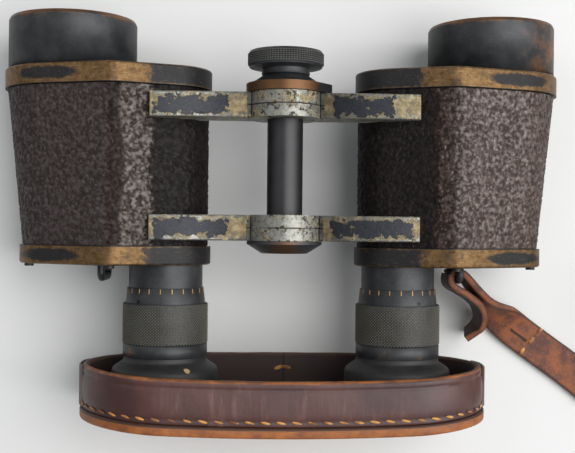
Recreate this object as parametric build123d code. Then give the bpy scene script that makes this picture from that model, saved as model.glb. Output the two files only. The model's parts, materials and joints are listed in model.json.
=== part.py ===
from build123d import *
import math
import os

# Prism field glass, lying on its underside with a loose leather rain guard on the eyepieces.
# X runs across the pair, Y from the eyepieces to the objectives, Z up from the table.
# The hinge axis is at x = 0, and the origin is under the middle of the glass, on the table.

# Optical layout of the right barrel, as places across the pair and above the table
eyepiece_x = 33.2
eyepiece_z = 25.0
objective_x = 61.0
hinge_above_eyepiece = 12.0

# Cast prism housing: wall, corner radii and the narrowing of its outer end
casting_wall = 1.6
casting_objective_radius_front = 17.2
casting_objective_radius_back = 12.8
casting_ridge_radius = 4.8
casting_eyepiece_radius = 10.8

# Leather and the two cover plates
leather_thickness = 1.0
leather_length = 44.2
plate_proud = 1.8
plate_wall = 2.0
objective_plate_depth = 5.6
eyepiece_plate_depth = 5.2
plate_edge_round = 0.7

# Objective tube and doublet
objective_tube_length = 14.8
objective_tube_radius = 18.2
objective_tube_bore = 16.2
objective_spigot_radius = 17.4
objective_spigot_length = 1.5
objective_cell_bore = 15.3
objective_cell_length = 8.0
objective_cell_lip = 1.0
objective_lip = 0.9
lens_recess = 6.0
lock_ring_depth = 1.6
crown_edge = 3.4
flint_edge = 3.0
objective_front_curve = 78.0
objective_middle_curve = 62.0
objective_back_curve = 230.0

# Prisms, the shelf between them and their spring clips
shelf_thickness = 2.0
prism_width = 13.0
prism_margin = 6.0
beam_radius = 5.5
clip_width = 5.0
clip_thickness = 0.6

# Eyepiece stack, from the cover plate outwards
plain_tube_length = 6.5
plain_tube_radius = 10.4
sleeve_step = 0.8
sleeve_wall = 1.0
sleeve_length = 11.0
eyepiece_spigot_wall = 0.6
focus_travel_in = 3.6
tube_in_ring = 0.6
scale_ring_length = 4.4
scale_ring_wall = 0.75
scale_ring_taper = 0.4
knurl_length = 11.3
knurl_proud = 0.9
knurl_chamfer = 0.35
band_length = 3.7
band_proud = 0.7
ocular_flange_step = 1.0
ocular_flange_depth = 2.4
ocular_wall = 1.2
lens_seat = 0.5
field_lens_depth = 3.6
field_lens_curve = 16.0
eye_lens_depth = 3.2
eye_lens_curve = 14.0
eye_lens_recess = 1.0
ocular_flat_curve = 90.0
eyecup_length = 13.4
eyecup_radius = 15.2
eyecup_neck_step = 0.2
eyecup_flare_length = 5.6
eyecup_flare_middle = 3.5
eyecup_flare_swell = 0.9
eyecup_dish_depth = 4.0
eyecup_dish_swell = 1.8
eyecup_wall = 1.7
eyecup_throat = 6.6
eyecup_floor = 3.0
eyecup_end_round = 0.6

# Hinge: two arms on each barrel, the left pair outside the right pair
arm_height = 7.0
arm_from_objective_plate = 2.1
arm_from_eyepiece_plate = 1.8
arm_outer_end = 36.8
arm_depth = 9.5
arm_face_above_axis = 4.2
arm_edge_round = 0.5
knuckle_radius = 10.0
knuckle_bore = 4.6
hinge_tube_radius = 4.9
axle_radius = 3.0
axle_neck_radius = 2.2
axle_head_depth = 1.5
end_cap_depth = 3.3
end_cap_rim = 0.8
end_cap_radius = 10.3
end_cap_tip_radius = 6.3
index_plate_depth = 2.4
index_plate_radius = 10.8
index_lobe_reach = 12.8
index_lobe_radius = 4.0
clamp_washer_depth = 2.4
clamp_washer_radius = 9.8
clamp_washer_top_radius = 6.2
knob_neck_depth = 2.2
knob_neck_radius = 6.6
knob_rim_depth = 4.2
knob_radius = 10.5
knob_edge = 0.5
knob_dish_radius = 7.2
knob_dish_depth = 0.4

# Cover screws and the strap lugs
screw_head_radius = 1.3
screw_head_depth = 0.8
screw_shank_radius = 0.65
lug_wire_radius = 1.1
lug_bend_radius = 1.8
lug_span = 13.6
lug_reach = 4.2
lug_x = 52.0
lug_z = 15.0

# Leather rain guard
guard_length = 114.0
guard_wall = 2.2
guard_height = 46.8
guard_depth = 12.0
guard_sole_thickness = 3.0
guard_sole_proud = 0.6
guard_loop_thickness = 1.2
guard_loop_angle = 38.0
guard_loop_above_rim = 1.0
guard_end_gap = 0.6

# Neck strap
strap_width = 11.0
strap_thickness = 2.2
strap_roll_pitch = 4.3
strap_roll_half_turns = 11
strap_roll_inner_radius = 10.6
strap_roll_centre = (141.0, -36.5)
strap_roll_lift = 1.0
strap_tie_width = 6.0
strap_tie_thickness = 0.7
strap_tie_angle = 40.0

# Clearances
running_fit = 0.05
seat_fit = 0.05
swing_gap = 0.3
hinge_gap = 0.1
slack = 0.3


# Places that follow from the sizes above
def eyepiece_stack():
    return plain_tube_length + scale_ring_length + knurl_length + band_length + eyecup_length


barrel_length = objective_tube_length + objective_plate_depth + leather_length + eyepiece_plate_depth
total_length = barrel_length + eyepiece_stack() + guard_end_gap + guard_sole_thickness

y_rim = total_length / 2
y_objective_plate = y_rim - objective_tube_length
y_leather_front = y_objective_plate - objective_plate_depth
y_leather_back = y_leather_front - leather_length
y_eyepiece_plate = y_leather_back - eyepiece_plate_depth
y_scale = y_eyepiece_plate - plain_tube_length
y_knurl = y_scale - scale_ring_length
y_band = y_knurl - knurl_length
y_cup = y_band - band_length
y_cup_end = y_cup - eyecup_length
y_sole = y_cup_end - guard_end_gap
y_casting_front = y_objective_plate - plate_wall
y_casting_back = y_eyepiece_plate + plate_wall
y_shelf = (y_casting_front + y_casting_back) / 2

objective_z = casting_objective_radius_front + plate_proud
hinge_z = eyepiece_z + hinge_above_eyepiece
objective_axis = Vector(objective_x, objective_z)
eyepiece_axis = Vector(eyepiece_x, eyepiece_z)
hinge_axis = Vector(0, hinge_z)
sleeve_radius = plain_tube_radius - sleeve_step
eyepiece_bore = sleeve_radius - sleeve_wall
eyepiece_spigot_radius = eyepiece_bore + eyepiece_spigot_wall
ocular_bore = eyepiece_bore - ocular_wall
ocular_flange_radius = sleeve_radius + ocular_flange_step
scale_ring_bore = plain_tube_radius + running_fit
scale_ring_radius = scale_ring_bore + scale_ring_wall
knurl_radius = scale_ring_radius + knurl_proud
band_radius = scale_ring_radius + band_proud
eyecup_neck_radius = band_radius - eyecup_neck_step

half_offset = (objective_axis - eyepiece_axis).length / 2
middle_axis = (objective_axis + eyepiece_axis) / 2
ridge_axis = middle_axis + Vector(0, half_offset)

arm_face_z = hinge_z + arm_face_above_axis
y_upper_arm = y_leather_front - arm_from_objective_plate
y_lower_arm = y_leather_back + arm_from_eyepiece_plate
knuckle_height = (arm_height - hinge_gap) / 2
y_index_plate = y_upper_arm + hinge_gap
y_clamp_washer = y_index_plate + index_plate_depth
y_knob_neck = y_clamp_washer + clamp_washer_depth + hinge_gap
y_knob_rim = y_knob_neck + knob_neck_depth
y_end_cap = y_lower_arm - hinge_gap


def roll_outer_radius():
    return strap_roll_inner_radius + strap_roll_half_turns * strap_roll_pitch / 2


def station(y):
    """Plane square to the optical axes, drawn in x and height, with material added towards the eyepieces."""
    return Plane(origin=(0, y, 0), x_dir=(1, 0, 0), z_dir=(0, -1, 0))


def tangent_outline(circles):
    """Face inside the straight tangents and arcs round circles that are given anticlockwise."""
    angles = []
    for index, (centre, radius) in enumerate(circles):
        next_centre, next_radius = circles[(index + 1) % len(circles)]
        step = next_centre - centre
        heading = math.atan2(step.Y, step.X)
        angles.append(heading - math.acos((radius - next_radius) / step.length))
    edges = []
    for index, (centre, radius) in enumerate(circles):
        start = angles[index - 1]
        end = angles[index]
        while end < start:
            end += 2 * math.pi
        on_arc = [centre + Vector(math.cos(a), math.sin(a)) * radius for a in (start, (start + end) / 2, end)]
        edges.append(ThreePointArc(*on_arc))
        next_centre, next_radius = circles[(index + 1) % len(circles)]
        landing = next_centre + Vector(math.cos(end), math.sin(end)) * next_radius
        edges.append(Line(on_arc[2], landing))
    return make_face(edges)


def body_outline(objective_radius, offset):
    """Outline of the barrel: round the objective, the prism ridge and the eyepiece."""
    return tangent_outline([
        (objective_axis, objective_radius + offset),
        (ridge_axis, casting_ridge_radius + offset),
        (eyepiece_axis, casting_eyepiece_radius + offset),
    ])


def casting_objective_radius(y):
    """Radius of the outer end of the casting, which narrows evenly between the cover plates."""
    share = (y_leather_front - y) / leather_length
    share = min(max(share, 0), 1)
    narrowing = casting_objective_radius_front - casting_objective_radius_back
    return casting_objective_radius_front - share * narrowing


def barrel_form(y_front, y_back, offset):
    """Solid of the barrel between two stations, straight under the plates and tapered between them."""
    stops = [y_front]
    stops += [y for y in (y_leather_front, y_leather_back) if y_back < y < y_front]
    stops.append(y_back)
    form = None
    for front, back in zip(stops, stops[1:]):
        front_radius = casting_objective_radius(front)
        back_radius = casting_objective_radius(back)
        if front_radius == back_radius:
            piece = extrude(station(front) * body_outline(front_radius, offset), amount=front - back)
        else:
            ends = [
                station(front) * body_outline(front_radius, offset),
                station(back) * body_outline(back_radius, offset),
            ]
            piece = loft(ends, ruled=True)
        form = piece if form is None else form + piece
    return form


def turned(profile, axis):
    """Turned piece: a closed profile of radius and y, spun about an axis along Y."""
    outline = make_face(Polyline(*profile, close=True))
    return Pos(axis.X, 0, axis.Y) * revolve(outline, axis=Axis.Y)


def disc(axis, radius, y_front, y_back):
    return extrude(station(y_front) * Pos(axis.X, axis.Y) * Circle(radius), amount=y_front - y_back)


def lens(axis, radius, y_front, y_back, front_curve, back_curve):
    """Lens between two stations at its edge. A positive curve bulges, a negative one is hollow."""
    def rise(reach, curve):
        height = math.sqrt(curve ** 2 - reach ** 2) - math.sqrt(curve ** 2 - radius ** 2)
        return math.copysign(height, curve)

    front = [(reach, y_front + rise(reach, front_curve)) for reach in (0, radius / 2, radius)]
    back = [(reach, y_back - rise(reach, back_curve)) for reach in (radius, radius / 2, 0)]
    edges = [
        ThreePointArc(*front),
        Line(front[-1], back[0]),
        ThreePointArc(*back),
        Line(back[-1], front[0]),
    ]
    return Pos(axis.X, 0, axis.Y) * revolve(make_face(edges), axis=Axis.Y)


# Cast housing with its two hinge arms

def knuckle(y_top):
    return disc(hinge_axis, knuckle_radius, y_top, y_top - knuckle_height)


def hinge_arm(y_top, y_knuckle):
    """Flat-faced arm from the barrel to its knuckle, cut away round the other barrel's knuckle."""
    low = arm_face_z - arm_depth
    outline = Pos(arm_outer_end / 2, (low + arm_face_z) / 2) * Rectangle(arm_outer_end, arm_depth)
    arm = extrude(station(y_top) * outline, amount=arm_height)
    face_edges = arm.faces().sort_by(Axis.Z)[-1].edges()
    arm = fillet(face_edges, arm_edge_round)
    arm -= disc(hinge_axis, knuckle_radius + swing_gap, y_top, y_top - arm_height)
    reach = extrude(
        station(y_knuckle) * Pos(knuckle_radius / 2, hinge_z - hinge_tube_radius / 2)
        * Rectangle(knuckle_radius + 2 * swing_gap, arm_depth - hinge_tube_radius),
        amount=knuckle_height,
    )
    return arm + reach + knuckle(y_knuckle)


def arms(own_layer_outside):
    """Both arms of a barrel. The knuckles lie outside or inside the other barrel's pair."""
    inner_step = knuckle_height + hinge_gap
    upper = y_upper_arm if own_layer_outside else y_upper_arm - inner_step
    lower = y_lower_arm + arm_height
    lower = lower - inner_step if own_layer_outside else lower
    pair = hinge_arm(y_upper_arm, upper) + hinge_arm(y_lower_arm + arm_height, lower)
    return pair - disc(hinge_axis, knuckle_bore, y_upper_arm, y_lower_arm)


def cavity(clearance):
    return barrel_form(y_casting_front, y_casting_back, -casting_wall - clearance)


def prism_housing(own_layer_outside):
    shell = barrel_form(y_casting_front, y_casting_back, 0)
    shell += arms(own_layer_outside)
    return shell - cavity(0)


def leather_cover():
    skin = barrel_form(y_leather_front - slack / 2, y_leather_back + slack / 2, leather_thickness)
    skin -= barrel_form(y_casting_front, y_casting_back, seat_fit)
    for y_top in (y_upper_arm, y_lower_arm + arm_height):
        room = extrude(
            station(y_top + slack / 2) * Pos(arm_outer_end / 2, arm_face_z - arm_depth / 2)
            * Rectangle(arm_outer_end + slack, arm_depth + slack),
            amount=arm_height + slack,
        )
        skin -= room
    return skin.solids().sort_by(SortBy.VOLUME)[-1]


def cover_plate(y_front, y_back, wall_first, opening_axis, opening_radius, screws):
    """Shallow cup that closes one end of the casting. Its skirt goes over the casting."""
    form = barrel_form(y_front, y_back, plate_proud)
    outer_y = y_front if wall_first else y_back
    rim = form.faces().filter_by(Axis.Y).sort_by(Axis.Y)[-1 if wall_first else 0].edges()
    form = fillet(rim, plate_edge_round)
    if wall_first:
        form -= barrel_form(y_casting_front, y_back, seat_fit)
    else:
        form -= barrel_form(y_front, y_casting_back, seat_fit)
    form -= disc(opening_axis, opening_radius, max(outer_y, y_front), min(outer_y, y_back))
    for place in screws:
        form -= disc(place, screw_shank_radius + seat_fit, y_front, y_back)
    return form


def screw_places(objective_radius):
    """Cover screws stand on the casting's wall at the outer corners and the ridge."""
    ring = [
        (objective_axis, objective_radius, 20.0),
        (objective_axis, objective_radius, 265.0),
        (ridge_axis, casting_ridge_radius, 90.0),
    ]
    places = []
    for centre, radius, degrees in ring:
        turn = math.radians(degrees)
        reach = radius - casting_wall / 2
        places.append(centre + Vector(math.cos(turn), math.sin(turn)) * reach)
    return places


def cover_screw(place):
    """Cheese-head screw through the eyepiece plate."""
    y_seat = y_eyepiece_plate - seat_fit
    head = disc(place, screw_head_radius, y_seat, y_seat - screw_head_depth)
    shank = disc(place, screw_shank_radius, y_casting_back - seat_fit, y_seat)
    return head + shank


# Objective end

def objective_tube():
    lip_y = y_rim - objective_lip
    return turned([
        (objective_tube_bore, y_objective_plate - objective_spigot_length),
        (objective_spigot_radius, y_objective_plate - objective_spigot_length),
        (objective_spigot_radius, y_objective_plate),
        (objective_tube_radius, y_objective_plate),
        (objective_tube_radius, lip_y),
        (objective_tube_radius - objective_lip / 2, y_rim),
        (objective_tube_bore + objective_lip / 2, y_rim),
        (objective_tube_bore, lip_y),
    ], objective_axis)


def objective_cell():
    front = y_rim - lens_recess
    back = front - objective_cell_length
    outer = objective_tube_bore - seat_fit
    step = objective_cell_bore - objective_cell_lip
    stop = back + objective_cell_lip
    return turned([
        (step, back),
        (outer, back),
        (outer, front),
        (objective_cell_bore, front),
        (objective_cell_bore, stop),
        (step, stop),
    ], objective_axis)


def objective_lock_ring():
    front = y_rim - lens_recess + lock_ring_depth
    back = y_rim - lens_recess + seat_fit
    return turned([
        (objective_cell_bore - objective_cell_lip, back),
        (objective_tube_bore - seat_fit, back),
        (objective_tube_bore - seat_fit, front),
        (objective_cell_bore, front),
    ], objective_axis)


def objective_lenses():
    """Cemented doublet: a crown lens in front and a flint lens that fits its back."""
    radius = objective_cell_bore - seat_fit
    front = y_rim - lens_recess
    middle = front - crown_edge
    back = middle - flint_edge
    crown = lens(objective_axis, radius, front - slack, middle, objective_front_curve, objective_middle_curve)
    flint_front = middle - seat_fit
    flint = lens(objective_axis, radius, flint_front, back, -objective_middle_curve, -objective_back_curve)
    return crown, flint


# Prisms

def prism_outline(near, far, y_face, towards_back, grow):
    """Plane and outline of a right-angle prism with its long face on the shelf, over two of the beam axes."""
    span = far - near
    half = span.length / 2 + prism_margin + grow
    centre = (near + far) / 2
    across = Vector(span.X, 0, span.Y).normalized()
    outwards = Vector(0, -1, 0) if towards_back else Vector(0, 1, 0)
    side = Plane(origin=(centre.X, y_face, centre.Y), x_dir=across, z_dir=across.cross(outwards))
    outline = Polyline((-half, 0), (half, 0), (0, half), close=True)
    return side, make_face(outline)


def prism(near, far, y_face, towards_back):
    side, outline = prism_outline(near, far, y_face, towards_back, 0)
    block = extrude(side * outline, amount=prism_width / 2, both=True)
    return (block & cavity(slack)).solids().sort_by(SortBy.VOLUME)[-1]


def prism_clip(near, far, y_face, towards_back):
    """Spring strip bent over the prism, with both feet on the shelf."""
    side, inner = prism_outline(near, far, y_face, towards_back, 2 * seat_fit)
    _, outer = prism_outline(near, far, y_face, towards_back, clip_thickness * math.sqrt(2) + 2 * seat_fit)
    strip = extrude(side * outer, amount=clip_width / 2, both=True)
    strip -= extrude(side * inner, amount=clip_width, both=True)
    return (strip & cavity(slack)).solids().sort_by(SortBy.VOLUME)[-1]


def prism_shelf():
    back = y_shelf - shelf_thickness / 2
    outline = body_outline(casting_objective_radius(back), -casting_wall - slack)
    plate = extrude(station(back + shelf_thickness) * outline, amount=shelf_thickness)
    for axis in (objective_axis, ridge_axis, eyepiece_axis):
        radius = min(beam_radius, casting_ridge_radius - casting_wall - leather_thickness)
        radius = radius if axis is ridge_axis else beam_radius
        plate -= disc(axis, radius, back + shelf_thickness, back)
    return plate


# Eyepiece

def eyepiece_tube():
    return turned([
        (eyepiece_bore, y_casting_back + slack),
        (eyepiece_spigot_radius - seat_fit, y_casting_back + slack),
        (eyepiece_spigot_radius - seat_fit, y_eyepiece_plate),
        (plain_tube_radius, y_eyepiece_plate),
        (plain_tube_radius, y_scale - tube_in_ring),
        (sleeve_radius, y_scale - tube_in_ring),
        (sleeve_radius, y_scale - sleeve_length),
        (eyepiece_bore, y_scale - sleeve_length),
    ], eyepiece_axis)


def focus_ring():
    """Ring that screws along the sleeve. Its scale skirt goes over the plain tube as it moves in."""
    bore = sleeve_radius + running_fit
    pocket = ocular_flange_radius + running_fit
    y_skirt = y_scale - tube_in_ring - focus_travel_in - slack
    return turned([
        (scale_ring_bore, y_scale),
        (scale_ring_radius - scale_ring_taper, y_scale),
        (scale_ring_radius, y_knurl),
        (knurl_radius - knurl_chamfer, y_knurl),
        (knurl_radius, y_knurl - knurl_chamfer),
        (knurl_radius, y_band + knurl_chamfer),
        (knurl_radius - knurl_chamfer, y_band),
        (band_radius, y_band),
        (band_radius, y_cup),
        (pocket, y_cup),
        (pocket, y_cup + ocular_flange_depth + 2 * hinge_gap),
        (bore, y_cup + ocular_flange_depth + 2 * hinge_gap),
        (bore, y_skirt),
        (scale_ring_bore, y_skirt),
    ], eyepiece_axis)


def ocular_cell():
    outer = eyepiece_bore - running_fit
    flange_back = y_cup + hinge_gap
    front = y_eyepiece_plate
    step = ocular_bore - lens_seat
    field_seat = front - field_lens_depth
    eye_seat = flange_back + eye_lens_depth
    return turned([
        (ocular_bore, front),
        (outer, front),
        (outer, flange_back + ocular_flange_depth),
        (ocular_flange_radius, flange_back + ocular_flange_depth),
        (ocular_flange_radius, flange_back),
        (ocular_bore, flange_back),
        (ocular_bore, eye_seat),
        (step, eye_seat),
        (step, field_seat),
        (ocular_bore, field_seat),
    ], eyepiece_axis)


def ocular_lenses():
    """Field lens at the inner end of the cell and eye lens under the eyecup."""
    radius = ocular_bore - seat_fit
    front = y_eyepiece_plate
    back = y_cup + hinge_gap
    field_back = front - field_lens_depth + slack
    field = lens(eyepiece_axis, radius, front - slack, field_back, field_lens_curve, ocular_flat_curve)
    eye_front = back + eye_lens_depth - slack
    eye = lens(eyepiece_axis, radius, eye_front, back + eye_lens_recess, eye_lens_curve, ocular_flat_curve)
    return field, eye


def eyecup():
    """Bell-mouthed cup: a concave flare outside, a dished funnel inside."""
    flare_end = y_cup - eyecup_flare_length
    flare_middle = (eyecup_neck_radius + eyecup_flare_swell, y_cup - eyecup_flare_middle)
    round_in = eyecup_radius - eyecup_end_round
    mouth = eyecup_radius - eyecup_wall
    floor = y_cup - eyecup_floor
    dish_middle = (mouth - eyecup_dish_swell, floor - eyecup_dish_depth)
    edges = [
        Line((eyecup_throat, y_cup), (eyecup_neck_radius, y_cup)),
        ThreePointArc((eyecup_neck_radius, y_cup), flare_middle, (eyecup_radius, flare_end)),
        Line((eyecup_radius, flare_end), (eyecup_radius, y_cup_end + eyecup_end_round)),
        Line((eyecup_radius, y_cup_end + eyecup_end_round), (round_in, y_cup_end)),
        Line((round_in, y_cup_end), (mouth, y_cup_end)),
        ThreePointArc((mouth, y_cup_end), dish_middle, (eyecup_throat, floor)),
        Line((eyecup_throat, floor), (eyecup_throat, y_cup)),
    ]
    return Pos(eyepiece_axis.X, 0, eyepiece_axis.Y) * revolve(make_face(edges), axis=Axis.Y)


# Hinge pieces

def hinge_axle():
    """Long pin with a head in the end cap and a thinner threaded end in the knob."""
    head_radius = (axle_radius + knuckle_bore) / 2
    return turned([
        (0, y_end_cap - axle_head_depth),
        (head_radius, y_end_cap - axle_head_depth),
        (head_radius, y_end_cap),
        (axle_radius, y_end_cap),
        (axle_radius, y_clamp_washer),
        (axle_neck_radius, y_clamp_washer),
        (axle_neck_radius, y_knob_rim + knob_rim_depth / 2),
        (0, y_knob_rim + knob_rim_depth / 2),
    ], hinge_axis)


def hinge_tube():
    """Black spacer tube between the inner knuckles. Its ends are turned down to run in the knuckles."""
    top = y_upper_arm - hinge_gap
    bottom = y_lower_arm + hinge_gap
    shoulder_top = y_upper_arm - arm_height - hinge_gap
    shoulder_bottom = y_lower_arm + arm_height + hinge_gap
    end_radius = knuckle_bore - running_fit
    return turned([
        (axle_radius + running_fit, bottom),
        (end_radius, bottom),
        (end_radius, shoulder_bottom),
        (hinge_tube_radius, shoulder_bottom),
        (hinge_tube_radius, shoulder_top),
        (end_radius, shoulder_top),
        (end_radius, top),
        (axle_radius + running_fit, top),
    ], hinge_axis)


def hinge_end_cap():
    head_radius = (axle_radius + knuckle_bore) / 2 + seat_fit
    return turned([
        (0, y_end_cap - end_cap_depth),
        (end_cap_tip_radius, y_end_cap - end_cap_depth),
        (end_cap_radius, y_end_cap - end_cap_rim),
        (end_cap_radius, y_end_cap),
        (head_radius, y_end_cap),
        (head_radius, y_end_cap - axle_head_depth - seat_fit),
        (0, y_end_cap - axle_head_depth - seat_fit),
    ], hinge_axis)


def index_plate():
    """Brass plate under the clamp, with a pointer lobe towards the right barrel."""
    lobe = Vector(index_lobe_reach - index_lobe_radius, hinge_z)
    outline = tangent_outline([(lobe, index_lobe_radius), (hinge_axis, index_plate_radius)])
    plate = extrude(station(y_clamp_washer) * outline, amount=index_plate_depth)
    return plate - disc(hinge_axis, axle_radius + seat_fit, y_clamp_washer, y_index_plate)


def clamp_washer():
    return turned([
        (axle_neck_radius + seat_fit, y_clamp_washer + seat_fit),
        (clamp_washer_radius, y_clamp_washer + seat_fit),
        (clamp_washer_top_radius, y_clamp_washer + clamp_washer_depth),
        (axle_neck_radius + seat_fit, y_clamp_washer + clamp_washer_depth),
    ], hinge_axis)


def clamp_knob():
    top = y_knob_rim + knob_rim_depth
    hole_end = y_knob_rim + knob_rim_depth / 2 + hinge_gap
    return turned([
        (axle_neck_radius + running_fit, y_knob_neck),
        (knob_neck_radius, y_knob_neck),
        (knob_neck_radius, y_knob_rim - knob_edge),
        (knob_radius - knob_edge, y_knob_rim),
        (knob_radius, y_knob_rim + knob_edge),
        (knob_radius, top - knob_edge),
        (knob_radius - knob_edge, top),
        (knob_dish_radius + knob_edge, top),
        (knob_dish_radius, top - knob_dish_depth),
        (0, top - knob_dish_depth),
        (0, hole_end),
        (axle_neck_radius + running_fit, hole_end),
    ], hinge_axis)


# Strap lug: a wire staple on the eyepiece plate, upright, for the strap's end loop

def strap_lug():
    y_bar = y_eyepiece_plate - lug_reach
    side = Plane(origin=(lug_x, y_bar, lug_z), x_dir=(0, 0, 1), z_dir=(1, 0, 0))
    half = lug_span / 2
    inside = lug_reach - seat_fit
    path = FilletPolyline((-half, -inside), (-half, 0), (half, 0), (half, -inside), radius=lug_bend_radius)
    wire = side * path
    return sweep(Plane(origin=wire @ 0, z_dir=wire % 0) * Circle(lug_wire_radius), path=wire)


# Rain guard

def stadium(length, height):
    return SlotOverall(length, height)


def guard_station(y):
    return station(y) * Pos(0, guard_sole_proud + guard_height / 2)


def rain_guard_wall():
    ring = stadium(guard_length, guard_height)
    ring -= stadium(guard_length - 2 * guard_wall, guard_height - 2 * guard_wall)
    return extrude(guard_station(y_sole + guard_depth) * ring, amount=guard_depth)


def rain_guard_sole():
    growth = 2 * guard_sole_proud
    plate = extrude(
        guard_station(y_sole) * stadium(guard_length + growth, guard_height + growth),
        amount=guard_sole_thickness,
    )
    edges = plate.faces().sort_by(Axis.Y)[0].edges()
    return fillet(edges, guard_sole_proud)


def rain_guard_loop():
    """Leather keeper sewn flat round one end of the guard."""
    inner = guard_height / 2 + seat_fit
    outer = inner + guard_loop_thickness
    centre_x = guard_length / 2 - guard_height / 2
    ring = Circle(outer) - Circle(inner)
    reach = outer * math.cos(math.radians(guard_loop_angle))
    wedge = Pos(reach + outer / 2, 0) * Rectangle(outer, 4 * outer)
    strip = Pos(centre_x, 0) * (ring & wedge)
    depth = guard_depth + guard_loop_above_rim - slack
    return extrude(guard_station(y_sole + guard_depth + guard_loop_above_rim) * strip, amount=depth)


# Neck strap: looped on the right lug, running flat over the table, its unseen length rolled on edge

strap_heading = Vector(0.78, -0.62).normalized()
strap_side = Vector(-strap_heading.Y, strap_heading.X)
lug_bar = Vector(lug_x, y_eyepiece_plate - lug_reach)
loop_radius = lug_wire_radius + slack + strap_thickness / 2


def beside_lug(along, aside):
    place = lug_bar + strap_heading * along + strap_side * aside
    return (place.X, place.Y)


def round_lug(degrees):
    turn = math.radians(degrees)
    return beside_lug(loop_radius * math.cos(turn), loop_radius * math.sin(turn))


roll_start = (strap_roll_centre[0], strap_roll_centre[1] - roll_outer_radius())

# Each entry is a place on the table, a height, and the tilt of the strap: 90 on edge, 0 flat
strap_route = [
    (round_lug(180), lug_z, 90.0),
    (round_lug(135), lug_z, 90.0),
    (round_lug(90), lug_z, 90.0),
    (beside_lug(5.0, 1.9), 13.6, 90.0),
    (beside_lug(10.5, 1.3), 9.8, 84.0),
    ((65.0, -27.0), 6.6, 58.0),
    ((69.9, -31.0), 3.4, 24.0),
    ((75.5, -35.3), 1.5, 4.0),
    ((82.5, -40.3), 1.1, 0.0),
    ((90.2, -45.7), 1.1, 0.0),
    ((98.5, -52.2), 1.5, 4.0),
    ((106.5, -59.6), 3.6, 26.0),
    ((115.5, -66.0), 5.6, 58.0),
    ((127.0, -69.9), 6.4, 82.0),
    (roll_start, strap_roll_lift + strap_width / 2, 90.0),
]
strap_twist_start = 5
tail_route = [
    (round_lug(180), lug_z, 90.0),
    (round_lug(225), lug_z, 90.0),
    (round_lug(270), lug_z, 90.0),
    (beside_lug(5.0, -1.6), 13.8, 90.0),
    (beside_lug(10.5, -1.4), 11.0, 90.0),
    ((61.0, -29.2), 8.6, 90.0),
    ((60.4, -32.8), 6.8, 90.0),
    ((57.6, -35.0), 5.8, 90.0),
]


def strap_solid(route, first_heading, last_heading, stretches):
    """Flat strap through its route, turned at each place to that place's tilt, made in stretches."""
    places = [Vector(*place, height) for place, height, _ in route]
    sections = []
    for index, (_, _, tilt) in enumerate(route):
        before = places[max(index - 1, 0)]
        after = places[min(index + 1, len(places) - 1)]
        heading = Vector((after - before).X, (after - before).Y).normalized()
        heading = first_heading if index == 0 else heading
        heading = last_heading if index == len(places) - 1 and last_heading else heading
        level = Vector(-heading.Y, heading.X)
        turn = math.radians(tilt)
        across = level * math.cos(turn) + Vector(0, 0, math.sin(turn))
        plane = Plane(origin=places[index], x_dir=across, z_dir=heading)
        sections.append(plane * Rectangle(strap_width, strap_thickness))
    strap = None
    for first, last in zip(stretches, stretches[1:]):
        stretch = loft(sections[first:last + 1], ruled=True)
        strap = stretch if strap is None else strap + stretch
    return strap


def neck_strap():
    last = len(strap_route) - 1
    return strap_solid(strap_route, strap_side, Vector(1, 0), [0, strap_twist_start, last])


def strap_tail():
    return strap_solid(tail_route, -strap_side, None, [0, len(tail_route) - 1])


def roll_arcs(offset):
    """Half turns of the rolled strap, from its outer end inwards, shifted sideways by an offset."""
    middle = Vector(*strap_roll_centre)
    arcs = []
    heading = Vector(0, -1)
    for turn in range(strap_roll_half_turns):
        radius = roll_outer_radius() - turn * strap_roll_pitch / 2
        side = Vector(-heading.Y, 0)
        reach = radius + offset
        arcs.append((middle + heading * reach, middle + side * reach, middle - heading * reach))
        middle -= heading * strap_roll_pitch / 2
        heading = -heading
    return arcs


def neck_strap_roll():
    half = strap_thickness / 2
    outer = roll_arcs(half)
    inner = roll_arcs(-half)
    edges = [ThreePointArc(*points) for points in outer]
    edges += [ThreePointArc(*points) for points in inner]
    edges.append(Line(outer[0][0], inner[0][0]))
    edges.append(Line(outer[-1][2], inner[-1][2]))
    return extrude(Pos(0, 0, strap_roll_lift) * make_face(edges), amount=strap_width)


def report_roll_gap():
    """Least gap between turns of the roll, measured on points along its middle line."""
    per_arc = 24
    points = []
    for arc in roll_arcs(0):
        edge = ThreePointArc(*arc)
        points += [edge @ (step / per_arc) for step in range(per_arc)]
    gaps = [
        (points[i] - points[j]).length
        for i in range(len(points))
        for j in range(i + per_arc, len(points))
    ]
    print(f"strap roll: least gap between turns {min(gaps) - strap_thickness:.2f} mm")


def strap_tie():
    """Thin leather band round the rolled strap at one place."""
    inner_reach = strap_roll_inner_radius - strap_thickness / 2 - strap_roll_pitch / 2 - slack
    outer_reach = roll_outer_radius() + strap_thickness / 2 + strap_roll_pitch / 2 + slack
    low = strap_roll_lift - slack
    high = strap_roll_lift + strap_width + slack
    turn = math.radians(strap_tie_angle)
    across = Vector(math.cos(turn), math.sin(turn))
    plane = Plane(origin=strap_roll_centre, x_dir=across, z_dir=Vector(across.Y, -across.X))
    hole = Rectangle(outer_reach - inner_reach, high - low)
    hole = Pos((inner_reach + outer_reach) / 2, (low + high) / 2) * hole
    band = offset(hole, amount=strap_tie_thickness) - hole
    return extrude(plane * band, amount=strap_tie_width / 2, both=True)


def save(shape, name):
    export_step(shape, f"parts/{name}.step")


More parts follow.
